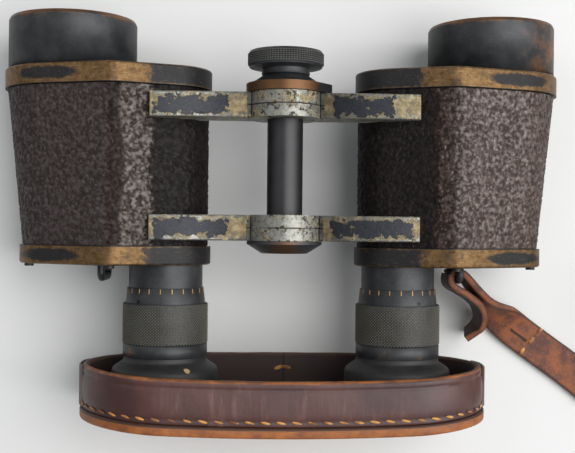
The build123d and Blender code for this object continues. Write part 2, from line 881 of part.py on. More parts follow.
def main():
    os.makedirs("parts", exist_ok=True)
    crown, flint = objective_lenses()
    field, eye = ocular_lenses()
    places = screw_places(casting_objective_radius_back)
    y_prism_back = y_shelf - shelf_thickness / 2 - seat_fit
    y_prism_front = y_shelf + shelf_thickness / 2 + seat_fit
    clips = [
        prism_clip(objective_axis, ridge_axis, y_prism_back, True),
        prism_clip(ridge_axis, eyepiece_axis, y_prism_front, False),
    ]
    side_parts = {
        "objective_cover_plate": cover_plate(
            y_objective_plate, y_leather_front, True, objective_axis, objective_spigot_radius + seat_fit, []),
        "eyepiece_cover_plate": cover_plate(
            y_leather_back, y_eyepiece_plate, False, eyepiece_axis, eyepiece_spigot_radius, places),
        "objective_tube": objective_tube(),
        "objective_cell": objective_cell(),
        "objective_lock_ring": objective_lock_ring(),
        "objective_crown_lens": crown,
        "objective_flint_lens": flint,
        "objective_prism": prism(objective_axis, ridge_axis, y_prism_back, True),
        "eyepiece_prism": prism(ridge_axis, eyepiece_axis, y_prism_front, False),
        "prism_shelf": prism_shelf(),
        "prism_clips": Compound(children=clips),
        "eyepiece_tube": eyepiece_tube(),
        "focus_ring": focus_ring(),
        "ocular_cell": ocular_cell(),
        "field_lens": field,
        "eye_lens": eye,
        "eyecup": eyecup(),
        "cover_screws": Compound(children=[cover_screw(place) for place in places]),
        "strap_lug": strap_lug(),
    }
    for name, shape in side_parts.items():
        save(shape, f"right_{name}")
        save(mirror(shape, about=Plane.YZ), f"left_{name}")
    save(prism_housing(False), "right_prism_housing")
    save(mirror(prism_housing(True), about=Plane.YZ), "left_prism_housing")
    leather = leather_cover()
    save(leather, "right_leather_cover")
    save(mirror(leather, about=Plane.YZ), "left_leather_cover")
    save(hinge_axle(), "hinge_axle")
    save(hinge_tube(), "hinge_tube")
    save(hinge_end_cap(), "hinge_end_cap")
    save(index_plate(), "index_plate")
    save(clamp_washer(), "clamp_washer")
    save(clamp_knob(), "clamp_knob")
    save(rain_guard_wall(), "rain_guard_wall")
    save(rain_guard_sole(), "rain_guard_sole")
    loop = rain_guard_loop()
    save(Compound(children=[loop, mirror(loop, about=Plane.YZ)]), "rain_guard_loops")
    save(neck_strap(), "neck_strap")
    save(strap_tail(), "strap_tail")
    save(neck_strap_roll(), "neck_strap_roll")
    save(strap_tie(), "strap_tie")
    report_roll_gap()


main()
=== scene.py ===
import json
import math

import bmesh
import bpy
from mathutils import Matrix, Vector, noise


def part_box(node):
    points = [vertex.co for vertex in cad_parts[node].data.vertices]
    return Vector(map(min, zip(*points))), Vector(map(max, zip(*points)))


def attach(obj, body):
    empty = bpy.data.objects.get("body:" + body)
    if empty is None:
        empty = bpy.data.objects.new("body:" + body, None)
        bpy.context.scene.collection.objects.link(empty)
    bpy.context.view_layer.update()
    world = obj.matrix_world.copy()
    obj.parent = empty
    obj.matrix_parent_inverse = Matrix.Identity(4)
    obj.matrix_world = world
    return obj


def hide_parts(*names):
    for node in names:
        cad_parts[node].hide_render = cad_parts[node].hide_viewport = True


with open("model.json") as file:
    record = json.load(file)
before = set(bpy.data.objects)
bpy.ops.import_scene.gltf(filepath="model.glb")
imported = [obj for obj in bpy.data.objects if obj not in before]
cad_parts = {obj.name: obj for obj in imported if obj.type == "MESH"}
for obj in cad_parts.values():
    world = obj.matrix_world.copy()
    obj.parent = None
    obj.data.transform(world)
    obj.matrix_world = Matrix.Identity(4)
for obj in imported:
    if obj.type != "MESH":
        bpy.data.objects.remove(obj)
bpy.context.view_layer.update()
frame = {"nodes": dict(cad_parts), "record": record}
record_bodies = frame["record"]["behaviour"]["bodies"]

# Table and studio. A plain pale table top under a broad soft light from the right and a weaker one
# from the left, with the camera looking down almost square on the pair.

MM = 0.001


class Signal:
    """The output of a shader node. Arithmetic on it adds Math nodes to the same finish."""

    def __init__(self, finish, socket):
        self.finish = finish
        self.socket = socket

    def math(self, operation, first, second=0.0):
        return self.finish.node("ShaderNodeMath", {"operation": operation}, {0: first, 1: second})

    def __add__(self, other):
        return self.math("ADD", self, other)

    def __radd__(self, other):
        return self.math("ADD", other, self)

    def __sub__(self, other):
        return self.math("SUBTRACT", self, other)

    def __rsub__(self, other):
        return self.math("SUBTRACT", other, self)

    def __mul__(self, other):
        return self.math("MULTIPLY", self, other)

    def __rmul__(self, other):
        return self.math("MULTIPLY", other, self)

    def __truediv__(self, other):
        return self.math("DIVIDE", self, other)

    def __pow__(self, other):
        return self.math("POWER", self, other)

    def __abs__(self):
        return self.math("ABSOLUTE", self)

    def lowest(self, other):
        return self.math("MINIMUM", self, other)

    def highest(self, other):
        return self.math("MAXIMUM", self, other)

    def rise(self, low, high):
        """0 below low, 1 above high, smooth between."""
        return self.finish.node(
            "ShaderNodeMapRange",
            {"interpolation_type": "SMOOTHSTEP"},
            {"Value": self, "From Min": low, "From Max": high},
        )


class Finish:
    """A material, and the few kinds of node that its recipe is written with."""

    def __init__(self, name):
        self.material = bpy.data.materials.new(name)
        self.material.use_nodes = True
        self.tree = self.material.node_tree
        self.shader = self.tree.nodes["Principled BSDF"]

    def node(self, kind, settings, sockets, output=0):
        made = self.tree.nodes.new(kind)
        for key, value in settings.items():
            setattr(made, key, value)
        self.feed(made, sockets)
        return Signal(self, made.outputs[output])

    def feed(self, made, sockets):
        for key, value in sockets.items():
            if isinstance(value, Signal):
                self.tree.links.new(value.socket, made.inputs[key])
            else:
                made.inputs[key].default_value = value

    def place(self):
        return self.node("ShaderNodeTexCoord", {}, {}, "Object")

    def stretched(self, x, y, z):
        return self.node("ShaderNodeMapping", {}, {"Vector": self.place(), "Scale": (x, y, z)})

    def axis(self, letter):
        return self.node("ShaderNodeSeparateXYZ", {}, {"Vector": self.place()}, "XYZ".index(letter))

    def attribute(self, name):
        return self.node("ShaderNodeAttribute", {"attribute_name": name}, {}, "Fac")

    def noise(self, size, detail=4.0, rough=0.55, vector=None, warp=0.0):
        """Cloudy pattern with patches of about that size, in metres, from 0 to 1."""
        return self.node(
            "ShaderNodeTexNoise",
            {},
            {
                "Vector": vector or self.place(),
                "Scale": 1 / size,
                "Detail": detail,
                "Roughness": rough,
                "Distortion": warp,
            },
        )

    def cells(self, size, feature="F1", vector=None, jitter=1.0):
        """Distance pattern of pebbles or cracks about that size apart, in metres."""
        return self.node(
            "ShaderNodeTexVoronoi",
            {"feature": feature},
            {"Vector": vector or self.place(), "Scale": 1 / size, "Randomness": jitter},
            "Distance",
        )

    def mix(self, factor, first, second):
        return self.node("ShaderNodeMix", {"data_type": "RGBA"}, {0: factor, 6: first, 7: second}, 2)

    def bump(self, height, distance, strength=1.0):
        return self.node("ShaderNodeBump", {}, {"Height": height, "Distance": distance, "Strength": strength})

    def surface(self, **sockets):
        """Values and signals for the shader's own sockets, named with underscores for spaces."""
        self.feed(self.shader, {key.replace("_", " "): value for key, value in sockets.items()})
        return self.material


def shade(red, green, blue):
    """Colour as seen on a screen, 0 to 255, as the shader's linear value."""
    return tuple(((c / 255 + 0.055) / 1.055) ** 2.4 if c > 10 else c / 255 / 12.92 for c in (red, green, blue)) + (1.0,)


def piece(name, mesh, material, body, smooth_below=40.0):
    """Makes the finished mesh an object that rides on a body."""
    data = bpy.data.meshes.new(name)
    mesh.to_mesh(data)
    mesh.free()
    data.polygons.foreach_set("use_smooth", [True] * len(data.polygons))
    data.set_sharp_from_angle(angle=math.radians(smooth_below))
    data.materials.append(material)
    made = bpy.data.objects.new(name, data)
    bpy.context.scene.collection.objects.link(made)
    if body:
        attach(made, body)
    return made


table_top = Finish("table_top")
table_cloud = table_top.noise(0.05, 3.0)
table_top.surface(
    Base_Color=table_top.mix(table_cloud, shade(216, 216, 214), shade(223, 223, 221)),
    Roughness=0.9,
)
table_mesh = bmesh.new()
bmesh.ops.create_grid(table_mesh, x_segments=2, y_segments=2, size=1.6)
bmesh.ops.translate(table_mesh, verts=table_mesh.verts, vec=(0, 0, -0.1 * MM))
table = piece("table", table_mesh, table_top.material, None)


def soft_lamp(name, place, aim, width, power):
    lamp = bpy.data.lights.new(name, "AREA")
    lamp.shape = "SQUARE"
    lamp.size = width
    lamp.energy = power
    holder = bpy.data.objects.new(name, lamp)
    holder.location = place
    holder.rotation_euler = (Vector(aim) - Vector(place)).to_track_quat("-Z", "Y").to_euler()
    bpy.context.scene.collection.objects.link(holder)


soft_lamp("window", (0.46, 0.06, 0.92), (0, 0, 0.02), 0.90, 11.0)
soft_lamp("door", (0.85, -0.05, 0.50), (0, 0, 0.02), 0.50, 2.4)
soft_lamp("room", (-0.60, 0.30, 0.70), (0, 0, 0.02), 0.60, 1.0)
world = bpy.data.worlds.new("studio")
world.use_nodes = True
world.node_tree.nodes["Background"].inputs["Color"].default_value = (0.52, 0.54, 0.57, 1.0)
world.node_tree.nodes["Background"].inputs["Strength"].default_value = 0.6
bpy.context.scene.world = world
bpy.context.scene.view_settings.view_transform = "Standard"

camera = bpy.data.cameras.new("camera")
camera.sensor_fit = "HORIZONTAL"
camera.sensor_width = 36.0
camera.lens = 61.4
camera.clip_start = 0.01
camera_holder = bpy.data.objects.new("camera", camera)
camera_holder.location = (-9.95 * MM, -3.66 * MM, 305.84 * MM)
camera_holder.rotation_euler = (math.radians(0.23), math.radians(-2.31), math.radians(0.57))
bpy.context.scene.collection.objects.link(camera_holder)
bpy.context.scene.camera = camera_holder

# Neck strap. One flat length of rusty brown harness leather, looped round the wire lug of the right barrel,
# lying on the table and rolled up on edge outside the picture. Its short turned-back end is stitched to it.

strap_width = 11.0 * MM
strap_thickness = 2.2 * MM
strap_corner = 0.5 * MM
# Places along the strap in millimetres, each with its tilt in degrees: 90 on edge, 0 flat
strap_route = [
    (50.04, -16.09, 15.0, 90.0), (51.72, -15.17, 15.0, 90.0), (53.56, -15.69, 15.0, 90.0),
    (57.10, -19.27, 13.6, 90.0), (61.03, -23.17, 9.8, 84.0), (65.0, -27.0, 6.6, 58.0),
    (69.9, -31.0, 3.4, 24.0), (75.5, -35.3, 1.5, 4.0), (82.5, -40.3, 1.2, 0.0), (90.2, -45.7, 1.2, 0.0),
    (98.5, -52.2, 1.5, 4.0), (106.5, -59.6, 3.6, 26.0), (115.5, -66.0, 5.6, 58.0), (127.0, -69.9, 6.4, 82.0),
    (141.0, -70.75, 6.5, 90.0),
]
tail_route = [
    (50.04, -16.09, 15.0, 90.0), (49.52, -17.93, 15.0, 90.0), (50.44, -19.61, 15.0, 90.0),
    (54.92, -22.01, 13.8, 90.0), (59.35, -25.28, 11.0, 90.0), (61.0, -29.2, 8.6, 90.0),
    (60.4, -32.8, 6.8, 90.0), (57.6, -35.0, 5.8, 90.0),
]
roll_middle = (141.0, -35.425)
roll_radius = 35.325
roll_fall_per_turn = 4.3
roll_turns = 5.5
roll_points_per_turn = 16
roll_height = 6.5
for step in range(1, int(roll_turns * roll_points_per_turn) + 1):
    turn = step / roll_points_per_turn
    reach = roll_radius - roll_fall_per_turn * turn
    heading = 2 * math.pi * turn - math.pi / 2
    strap_route.append((
        roll_middle[0] + reach * math.cos(heading),
        roll_middle[1] + reach * math.sin(heading),
        roll_height,
        90.0,
    ))


def spline_points(points, resolution):
    """Points read along a smooth spline that has the given places as its control points."""
    curve = bpy.data.curves.new("route", "CURVE")
    curve.dimensions = "3D"
    curve.resolution_u = resolution
    spline = curve.splines.new("NURBS")
    spline.points.add(len(points) - 1)
    for point, place in zip(spline.points, points):
        point.co = (*place, 1.0)
    spline.order_u = 3
    spline.use_endpoint_u = True
    holder = bpy.data.objects.new("route", curve)
    mesh = bpy.data.meshes.new_from_object(holder)
    read = [vertex.co.copy() for vertex in mesh.vertices]
    bpy.data.meshes.remove(mesh)
    bpy.data.objects.remove(holder)
    bpy.data.curves.remove(curve)
    return read


def strap_stations(route, resolution):
    """The strap's middle line, and at each of its points a matrix whose x axis lies across the strap."""
    line = spline_points([Vector(place[:3]) * MM for place in route], resolution)
    tilts = spline_points([(place[3], 0.0, 0.0) for place in route], resolution)
    stations = []
    for index, place in enumerate(line):
        ahead = line[min(index + 1, len(line) - 1)] - line[max(index - 1, 0)]
        heading = ahead.normalized()
        level = Vector((0, 0, 1)).cross(heading).normalized()
        tilt = math.radians(tilts[index].x)
        across = level * math.cos(tilt) + heading.cross(level) * math.sin(tilt)
        through = heading.cross(across)
        stations.append(Matrix.Translation(place) @ Matrix((across, through, heading)).transposed().to_4x4())
    return line, stations


def strap_mesh(stations, width, thickness, grain_side):
    """Flat strap with rounded corners swept through its stations, with its own coordinates as attributes."""
    mesh = bmesh.new()
    along = mesh.verts.layers.float.new("along")
    across = mesh.verts.layers.float.new("across")
    facing = mesh.verts.layers.float.new("facing")
    bmesh.ops.create_grid(mesh, x_segments=8, y_segments=1, size=0.5)
    bmesh.ops.scale(mesh, verts=mesh.verts, vec=(width, thickness, 1))
    corners = [v for v in mesh.verts if len(v.link_edges) == 2]
    bmesh.ops.bevel(
        mesh, geom=corners, offset=strap_corner, affect="VERTICES", segments=2, profile=0.5, material=-1
    )
    for vert in mesh.verts:
        vert[across] = vert.co.x / width
        vert[facing] = vert.co.y / thickness * grain_side
    bmesh.ops.transform(mesh, matrix=stations[0], verts=mesh.verts)
    edges = [edge for edge in mesh.edges if edge.is_boundary]
    travelled = 0.0
    for before, after in zip(stations, stations[1:]):
        made = bmesh.ops.extrude_edge_only(mesh, edges=edges)["geom"]
        verts = [item for item in made if isinstance(item, bmesh.types.BMVert)]
        edges = [item for item in made if isinstance(item, bmesh.types.BMEdge)]
        bmesh.ops.transform(mesh, matrix=after @ before.inverted(), verts=verts)
        travelled += (after.translation - before.translation).length
        for vert in verts:
            vert[along] = travelled
    bmesh.ops.contextual_create(mesh, geom=edges)
    bmesh.ops.recalc_face_normals(mesh, faces=mesh.faces)
    return mesh


strap_line, strap_places = strap_stations(strap_route, 8)
tail_line, tail_places = strap_stations(tail_route, 8)


def strap_run_to(x, y):
    """Number of the strap's station nearest a place on the table, and the strap's length up to it."""
    nearest = min(range(len(strap_line)), key=lambda i: (strap_line[i].xy - Vector((x, y))).length)
    return nearest, sum((strap_line[i + 1] - strap_line[i]).length for i in range(nearest))


slit_run = [strap_run_to(71.5 * MM, -32.0 * MM)[1], strap_run_to(77.6 * MM, -36.6 * MM)[1]]
strap_leather = Finish("strap_leather")
strap_fibre = strap_leather.noise(0.55 * MM, 5.0, 0.7)
strap_patches = strap_leather.noise(4.5 * MM, 4.0, 0.6)
strap_along = strap_leather.attribute("along")
strap_across = strap_leather.attribute("across")
strap_facing = strap_leather.attribute("facing")
strap_corner_line = abs(strap_across).rise(0.41, 0.47) * abs(strap_facing).rise(0.1, 0.4)
grain_face = strap_facing.rise(0.3, 0.48) * (1 - abs(strap_across).rise(0.46, 0.5))
slit = 1 - abs(strap_across + 0.06 + (strap_fibre - 0.5) * 0.06).rise(0.015, 0.05)
slit = slit * strap_along.rise(slit_run[0], slit_run[0] + 1.5 * MM)
slit = slit * (1 - strap_along.rise(slit_run[1] - 0.5 * MM, slit_run[1]))
rust = strap_leather.mix(strap_patches.rise(0.32, 0.68), shade(80, 44, 32), shade(142, 78, 36))
rust = strap_leather.mix(strap_fibre.rise(0.5, 0.66) * 0.65, rust, shade(122, 88, 80))
rust = strap_leather.mix((1 - strap_fibre.rise(0.3, 0.46)) * 0.65, rust, shade(64, 35, 26))
rust = strap_leather.mix(strap_corner_line * (0.35 + strap_patches * 0.7), rust, shade(46, 28, 21))
rust = strap_leather.mix(grain_face * 0.85, rust, shade(44, 29, 24))
rust = strap_leather.mix(slit * 0.9, rust, shade(34, 20, 16))
strap_leather.surface(
    Base_Color=rust,
    Roughness=0.5 + strap_fibre * 0.25,
    Normal=strap_leather.bump(strap_fibre * 0.7 + strap_patches * 0.5 - slit * 1.5, 0.3 * MM),
)

waxed_thread = Finish("waxed_thread")
thread_fibre = waxed_thread.noise(0.35 * MM, 3.0)
thread_worn = waxed_thread.noise(5 * MM, 2.0).rise(0.4, 0.62)
waxed_thread.surface(
    Base_Color=waxed_thread.mix(thread_worn, shade(200, 142, 72), shade(112, 68, 42)),
    Roughness=0.6,
    Normal=waxed_thread.bump(thread_fibre, 0.08 * MM),
)


def add_stitch(mesh, matrix, length, width, height):
    """One length of thread, lying along the x axis of the matrix."""
    thread = bmesh.ops.create_icosphere(mesh, subdivisions=2, radius=0.5)["verts"]
    bmesh.ops.scale(mesh, verts=thread, vec=(length, width, height))
    bmesh.ops.transform(mesh, matrix=matrix, verts=thread)


def strap_lacing_mesh():
    """Three stitches across the strap, where its slit end is sewn down."""
    mesh = bmesh.new()
    station = strap_places[strap_run_to(78.6 * MM, -37.6 * MM)[0]]
    for place in (-4.0 * MM, 0.3 * MM, 4.1 * MM):
        face = Matrix.Translation((place, strap_thickness / 2, 0.1 * place))
        add_stitch(mesh, station @ face, 3.0 * MM, 0.7 * MM, 1.4 * MM)
    return mesh


neck_strap = piece("strap", strap_mesh(strap_places, strap_width, strap_thickness, -1), strap_leather.material,
                   "right_barrel")
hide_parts("neck_strap", "neck_strap_roll")
strap_tail = piece("strap_end", strap_mesh(tail_places, strap_width, strap_thickness, 1), strap_leather.material,
                   "right_barrel")
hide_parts("strap_tail")
lacing = piece("strap_lacing", strap_lacing_mesh(), waxed_thread.material, "right_barrel")

tie_low, tie_high = (Vector(corner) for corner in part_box("strap_tie"))
tie_angle = math.radians(40.0)
tie_width = 6.0 * MM
tie_thickness = 0.7 * MM
tie_reach = (10.6 * MM, 35.5 * MM)
tie_heights = (tie_low.z + tie_thickness, tie_high.z - tie_thickness)
tie_mesh = bmesh.new()
bmesh.ops.create_grid(tie_mesh, x_segments=1, y_segments=1, size=0.5)
bmesh.ops.scale(tie_mesh, verts=tie_mesh.verts, vec=(tie_reach[1] - tie_reach[0], tie_heights[1] - tie_heights[0], 1))
bmesh.ops.bevel(tie_mesh, geom=tie_mesh.verts[:], offset=1.5 * MM, affect="VERTICES", segments=5, profile=0.5, material=-1)
tie_loop = [edge for edge in tie_mesh.edges if edge.is_boundary]
bmesh.ops.delete(tie_mesh, geom=tie_mesh.faces[:], context="FACES_ONLY")
tie_band = bmesh.ops.extrude_edge_only(tie_mesh, edges=tie_loop)["geom"]
bmesh.ops.translate(tie_mesh, verts=[v for v in tie_band if isinstance(v, bmesh.types.BMVert)], vec=(0, 0, tie_width))
bmesh.ops.translate(tie_mesh, verts=tie_mesh.verts, vec=(sum(tie_reach) / 2, sum(tie_heights) / 2, -tie_width / 2))
bmesh.ops.recalc_face_normals(tie_mesh, faces=tie_mesh.faces)
bmesh.ops.solidify(tie_mesh, geom=tie_mesh.faces[:], thickness=tie_thickness)
tie_outward = Vector((math.cos(tie_angle), math.sin(tie_angle), 0))
tie_frame = Matrix((tie_outward, Vector((0, 0, 1)), tie_outward.cross(Vector((0, 0, 1))))).transposed().to_4x4()
tie_centre = Matrix.Translation((141.0 * MM, -36.5 * MM, 0))
bmesh.ops.transform(tie_mesh, matrix=tie_centre @ tie_frame, verts=tie_mesh.verts)
bmesh.ops.recalc_face_normals(tie_mesh, faces=tie_mesh.faces)
strap_tie = piece("strap_band", tie_mesh, strap_leather.material, "right_barrel")
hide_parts("strap_tie")

# Prism housings. Cast aluminium boxes, each with two flat-faced hinge arms. The arms were primed in tan
# and painted slate black, and the paint has flaked to primer and to bare metal along the edges.

node_body = {node: body for body, nodes in record_bodies.items() for node in nodes}
arm_middles = (-2.95 * MM, 30.35 * MM)
arm_half_height = 3.5 * MM
arm_inner_end = 10.6 * MM
arm_outer_end = 36.8 * MM
paint_inner_end = 14.4 * MM


def smooth_copy(node, name, material, smooth_below=35.0):
    """A node's own shape with its triangles joined to quads, so that its round faces shade smoothly."""
    mesh = bmesh.new()
    mesh.from_mesh(frame["nodes"][node].data)
    bmesh.ops.remove_doubles(mesh, verts=mesh.verts, dist=0.0005 * MM)
    bmesh.ops.join_triangles(
        mesh, faces=mesh.faces[:], angle_face_threshold=math.radians(1.0), angle_shape_threshold=math.pi
    )
    low, high = (Vector(corner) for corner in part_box(node))
    on_axis = [vert for vert in mesh.verts if (vert.co - (low + high) / 2).xz.length < 0.01 * MM]
    bmesh.ops.dissolve_verts(mesh, verts=[vert for vert in on_axis if len(vert.link_faces) > 30])
    made = piece(name, mesh, material, node_body[node], smooth_below)
    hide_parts(node)
    return made


flaked_paint = Finish("flaked_paint")
arm_x = flaked_paint.axis("X")
arm_y = flaked_paint.axis("Y")
arm_spread = (arm_middles[1] - arm_middles[0]) / 2
arm_centre = (arm_middles[1] + arm_middles[0]) / 2
on_right = arm_x.rise(-1 * MM, 1 * MM)
on_front = arm_y.rise(arm_centre - 1 * MM, arm_centre + 1 * MM)
paint_from = paint_inner_end - on_right * 2.6 * MM
paint_to = arm_outer_end - 0.5 * MM - on_right * (0.6 * MM + on_front * 5.6 * MM)
from_arm_middle = abs(abs(arm_y - arm_centre) - arm_spread)
edge_room = 1 - from_arm_middle / arm_half_height
end_room = (paint_to - abs(arm_x)).lowest(abs(arm_x) - paint_from) / arm_half_height
room = edge_room.lowest(end_room).lowest(0.75).highest(-0.6)
flake_wide = flaked_paint.noise(4.2 * MM, 3.0, 0.5)
flake_edges = flaked_paint.noise(1.7 * MM, 6.0, 0.62)
flake_fine = flaked_paint.noise(0.5 * MM, 4.0, 0.6)
on_arm = abs(arm_x).rise(arm_inner_end - 0.3 * MM, arm_inner_end)
flecks = (flake_edges + (flake_fine - 0.5) * 0.4).rise(0.57, 0.59) * flake_wide.rise(0.42, 0.5)
paint_left = room * 0.8 + (flake_wide - 0.5) * 1.1 + (flake_edges - 0.5) * 1.5 + (flake_fine - 0.5) * 0.3
paint_left = paint_left.rise(0.27, 0.30) * on_arm
paint_left = paint_left.highest(flecks * (1 - on_arm))
knuckle_room = 0.6 + (flake_wide - 0.5) * 2.2
primer_room = edge_room * on_arm + knuckle_room * (1 - on_arm)
primer_left = primer_room * 0.9 + (flake_edges - 0.5) * 1.9 + (flake_fine - 0.5) * 1.3 + on_arm * 0.5
primer_left = primer_left.rise(0.60, 0.78)
dirt = flaked_paint.noise(1.3 * MM, 5.0, 0.7).rise(0.42, 0.68)
alloy_grey = flaked_paint.mix(flake_fine, shade(118, 118, 112), shade(164, 163, 155))
alloy_grey = flaked_paint.mix(dirt * 0.6, alloy_grey, shade(88, 87, 78))
primer_tan = flaked_paint.mix(flake_edges.rise(0.35, 0.65), shade(126, 110, 80), shade(172, 156, 120))
primer_tan = flaked_paint.mix(dirt * 0.8, primer_tan, shade(100, 94, 76))
slate = flaked_paint.mix(flake_fine.rise(0.3, 0.8), shade(40, 42, 48), shade(62, 64, 70))
arm_colour = flaked_paint.mix(primer_left, alloy_grey, primer_tan)
arm_colour = flaked_paint.mix(paint_left, arm_colour, slate)
knuckle_split = (1 - from_arm_middle.rise(0.1 * MM, 0.24 * MM)) * (1 - on_arm)
arm_colour = flaked_paint.mix(knuckle_split * 0.85, arm_colour, shade(44, 40, 34))
flaked_paint.surface(
    Base_Color=arm_colour,
    Metallic=(1 - primer_left.highest(paint_left)) * 0.75,
    Specular_IOR_Level=0.3,
    Roughness=0.6 - paint_left * 0.08 - (1 - primer_left) * 0.14,
    Normal=flaked_paint.bump(paint_left * 0.8 + primer_left * 0.4 + flake_fine * 0.35, 0.16 * MM),
)
for side in ("left", "right"):
    smooth_copy(f"{side}_prism_housing", f"{side}_housing", flaked_paint.material)

# Leather covers. Thin black goatskin with a pebbled grain, glued round each housing between the plates.
# The grain is shiny along the ridge and on the outer round, where a painted highlight and painted sheen lighten its
# brown.

leather_thickness = 1.0 * MM
leather_spacing = 0.3 * MM
pebble_size = 1.35 * MM
pebble_height = 0.30 * MM
leather_low, leather_high = (Vector(corner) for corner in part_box("right_leather_cover"))
objective_low, objective_high = (Vector(corner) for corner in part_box("right_objective_tube"))
eyepiece_low, eyepiece_high = (Vector(corner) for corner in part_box("right_focus_ring"))
objective_axis = (objective_low + objective_high) / 2
eyepiece_axis = (eyepiece_low + eyepiece_high) / 2
leather_ridge_radius = 5.8 * MM
leather_eyepiece_radius = 11.8 * MM
leather_front_radius = leather_high.x - objective_axis.x
leather_back_radius = leather_front_radius - 4.4 * MM
ridge_axis = Vector(((objective_axis.x + eyepiece_axis.x) / 2, 0, leather_high.z - leather_ridge_radius))


def tangent_headings(circles):
    """For each circle, the directions in which an outline round all of them meets and leaves it."""
    leaves = []
    for index, (x, z, radius) in enumerate(circles):
        next_x, next_z, next_radius = circles[(index + 1) % len(circles)]
        gap = math.hypot(next_x - x, next_z - z)
        leaves.append(math.atan2(next_z - z, next_x - x) - math.acos((radius - next_radius) / gap))
    return [(leaves[i - 1], leaves[i - 1] + (leaves[i] - leaves[i - 1]) % math.tau) for i in range(len(circles))]


def round_run(mesh, y, circles, model, spacing):
    """Ring of edges at one station round circles (x, z, radius), given anticlockwise.

    The steps are counted on the model circles, so that rings of different size match."""
    before = len(mesh.edges)
    headings = tangent_headings(circles)
    starts = [
        Vector((x + radius * math.cos(start), y, z + radius * math.sin(start)))
        for (x, z, radius), (start, _) in zip(circles, headings)
    ]
    first = last = mesh.verts.new(starts[0])
    for index, ((x, z, _), (start, end)) in enumerate(zip(circles, headings)):
        following = (index + 1) % len(circles)
        model_start, model_end = tangent_headings(model)[index]
        arc_steps = max(2, round((model_end - model_start) * model[index][2] / spacing))
        last = bmesh.ops.spin(
            mesh, geom=[last], cent=(x, y, z), axis=(0, -1, 0), angle=end - start, steps=arc_steps
        )["geom_last"][0]
        run = math.hypot(model[index][0] - model[following][0], model[index][1] - model[following][1])
        run_steps = max(2, round(run / spacing))
        stride = (starts[following] - last.co) / run_steps
        run_steps -= following == 0
        last = bmesh.ops.spin(
            mesh, geom=[last], cent=(x, y, z), axis=(0, 1, 0), dvec=stride, angle=0.0, steps=run_steps
        )["geom_last"][0]
    mesh.edges.new((last, first))
    mesh.edges.ensure_lookup_table()
    return mesh.edges[before:]


def barrel_circles(objective_radius, ridge_radius, eyepiece_radius):
    return [
        (objective_axis.x, objective_axis.z, objective_radius),
        (ridge_axis.x, ridge_axis.z, ridge_radius),
        (eyepiece_axis.x, eyepiece_axis.z, eyepiece_radius),
    ]


def leather_mesh(side):
    """One cover: pebbled outside, plain inside, closed at both ends."""
    mesh = bmesh.new()
    grain = mesh.verts.layers.float.new("grain")
    outer = barrel_circles(leather_front_radius, leather_ridge_radius, leather_eyepiece_radius)
    rings = []
    for y, objective_radius in ((leather_high.y, leather_front_radius), (leather_low.y, leather_back_radius)):
        for inset in (0.0, leather_thickness):
            circles = barrel_circles(
                objective_radius - inset, leather_ridge_radius - inset, leather_eyepiece_radius - inset
            )
            rings.append(round_run(mesh, y, circles, outer, leather_spacing))
    front_outer, front_inner, back_outer, back_inner = rings
    skin = bmesh.ops.bridge_loops(mesh, edges=front_outer + back_outer)
    bmesh.ops.bridge_loops(mesh, edges=front_outer + front_inner)
    bmesh.ops.bridge_loops(mesh, edges=front_inner + back_inner)
    bmesh.ops.bridge_loops(mesh, edges=back_inner + back_outer)
    rows = round((leather_high.y - leather_low.y) / leather_spacing)
    cut = bmesh.ops.subdivide_edges(mesh, edges=skin["edges"], cuts=rows, use_grid_fill=True)
    if side == "left":
        bmesh.ops.scale(mesh, verts=mesh.verts, vec=(-1, 1, 1))
    bmesh.ops.recalc_face_normals(mesh, faces=mesh.faces)
    mesh.normal_update()
    for vert in {item for item in cut["geom_inner"] if isinstance(item, bmesh.types.BMVert)}:
        wander = Vector((noise.noise(vert.co / (1.3 * MM)), noise.noise(vert.co.yzx / (1.3 * MM)), 0.0))
        near, next_near = noise.voronoi(vert.co / pebble_size + wander * 0.18)[0][:2]
        groove = max(0.0, 1 - (next_near - near) * 1.9)
        groove *= min(1.0, max(0.25, 0.7 + 1.5 * noise.noise(vert.co / (1.6 * MM) + Vector((7.0, 3.0, 1.0)))))
        swell = noise.noise(vert.co / (3.0 * MM))
        vert[grain] = 1 - groove
        vert.co += vert.normal * (pebble_height * (0.2 - groove) + 0.06 * MM * swell)
    return mesh


body_leather = Finish("body_leather")
pebbles = body_leather.attribute("grain")
fine_grain = body_leather.cells(0.62 * MM).rise(0.15, 0.8)
pores = body_leather.noise(0.3 * MM, 3.0, 0.6)
leather_patches = body_leather.noise(8 * MM, 4.0, 0.55)
leather_x = body_leather.axis("X")
dapple = body_leather.noise(1.1 * MM, 3.0, 0.55)
leather_pits = body_leather.cells(2.2 * MM)
# Glints on the pebble tops: this pattern drives the coat, and it also lightens the base colour as painted glints.
sparkle = dapple.rise(0.3, 0.74) * leather_pits.rise(0.1, 0.28) * pebbles.rise(0.05, 0.55)
leather_reach = abs(leather_x) + (leather_patches - 0.5) * 4 * MM + (dapple - 0.5) * 3 * MM
on_right_barrel = leather_x.rise(-1 * MM, 1 * MM)
highlight_band_start = 36.5 * MM + on_right_barrel * 5.5 * MM
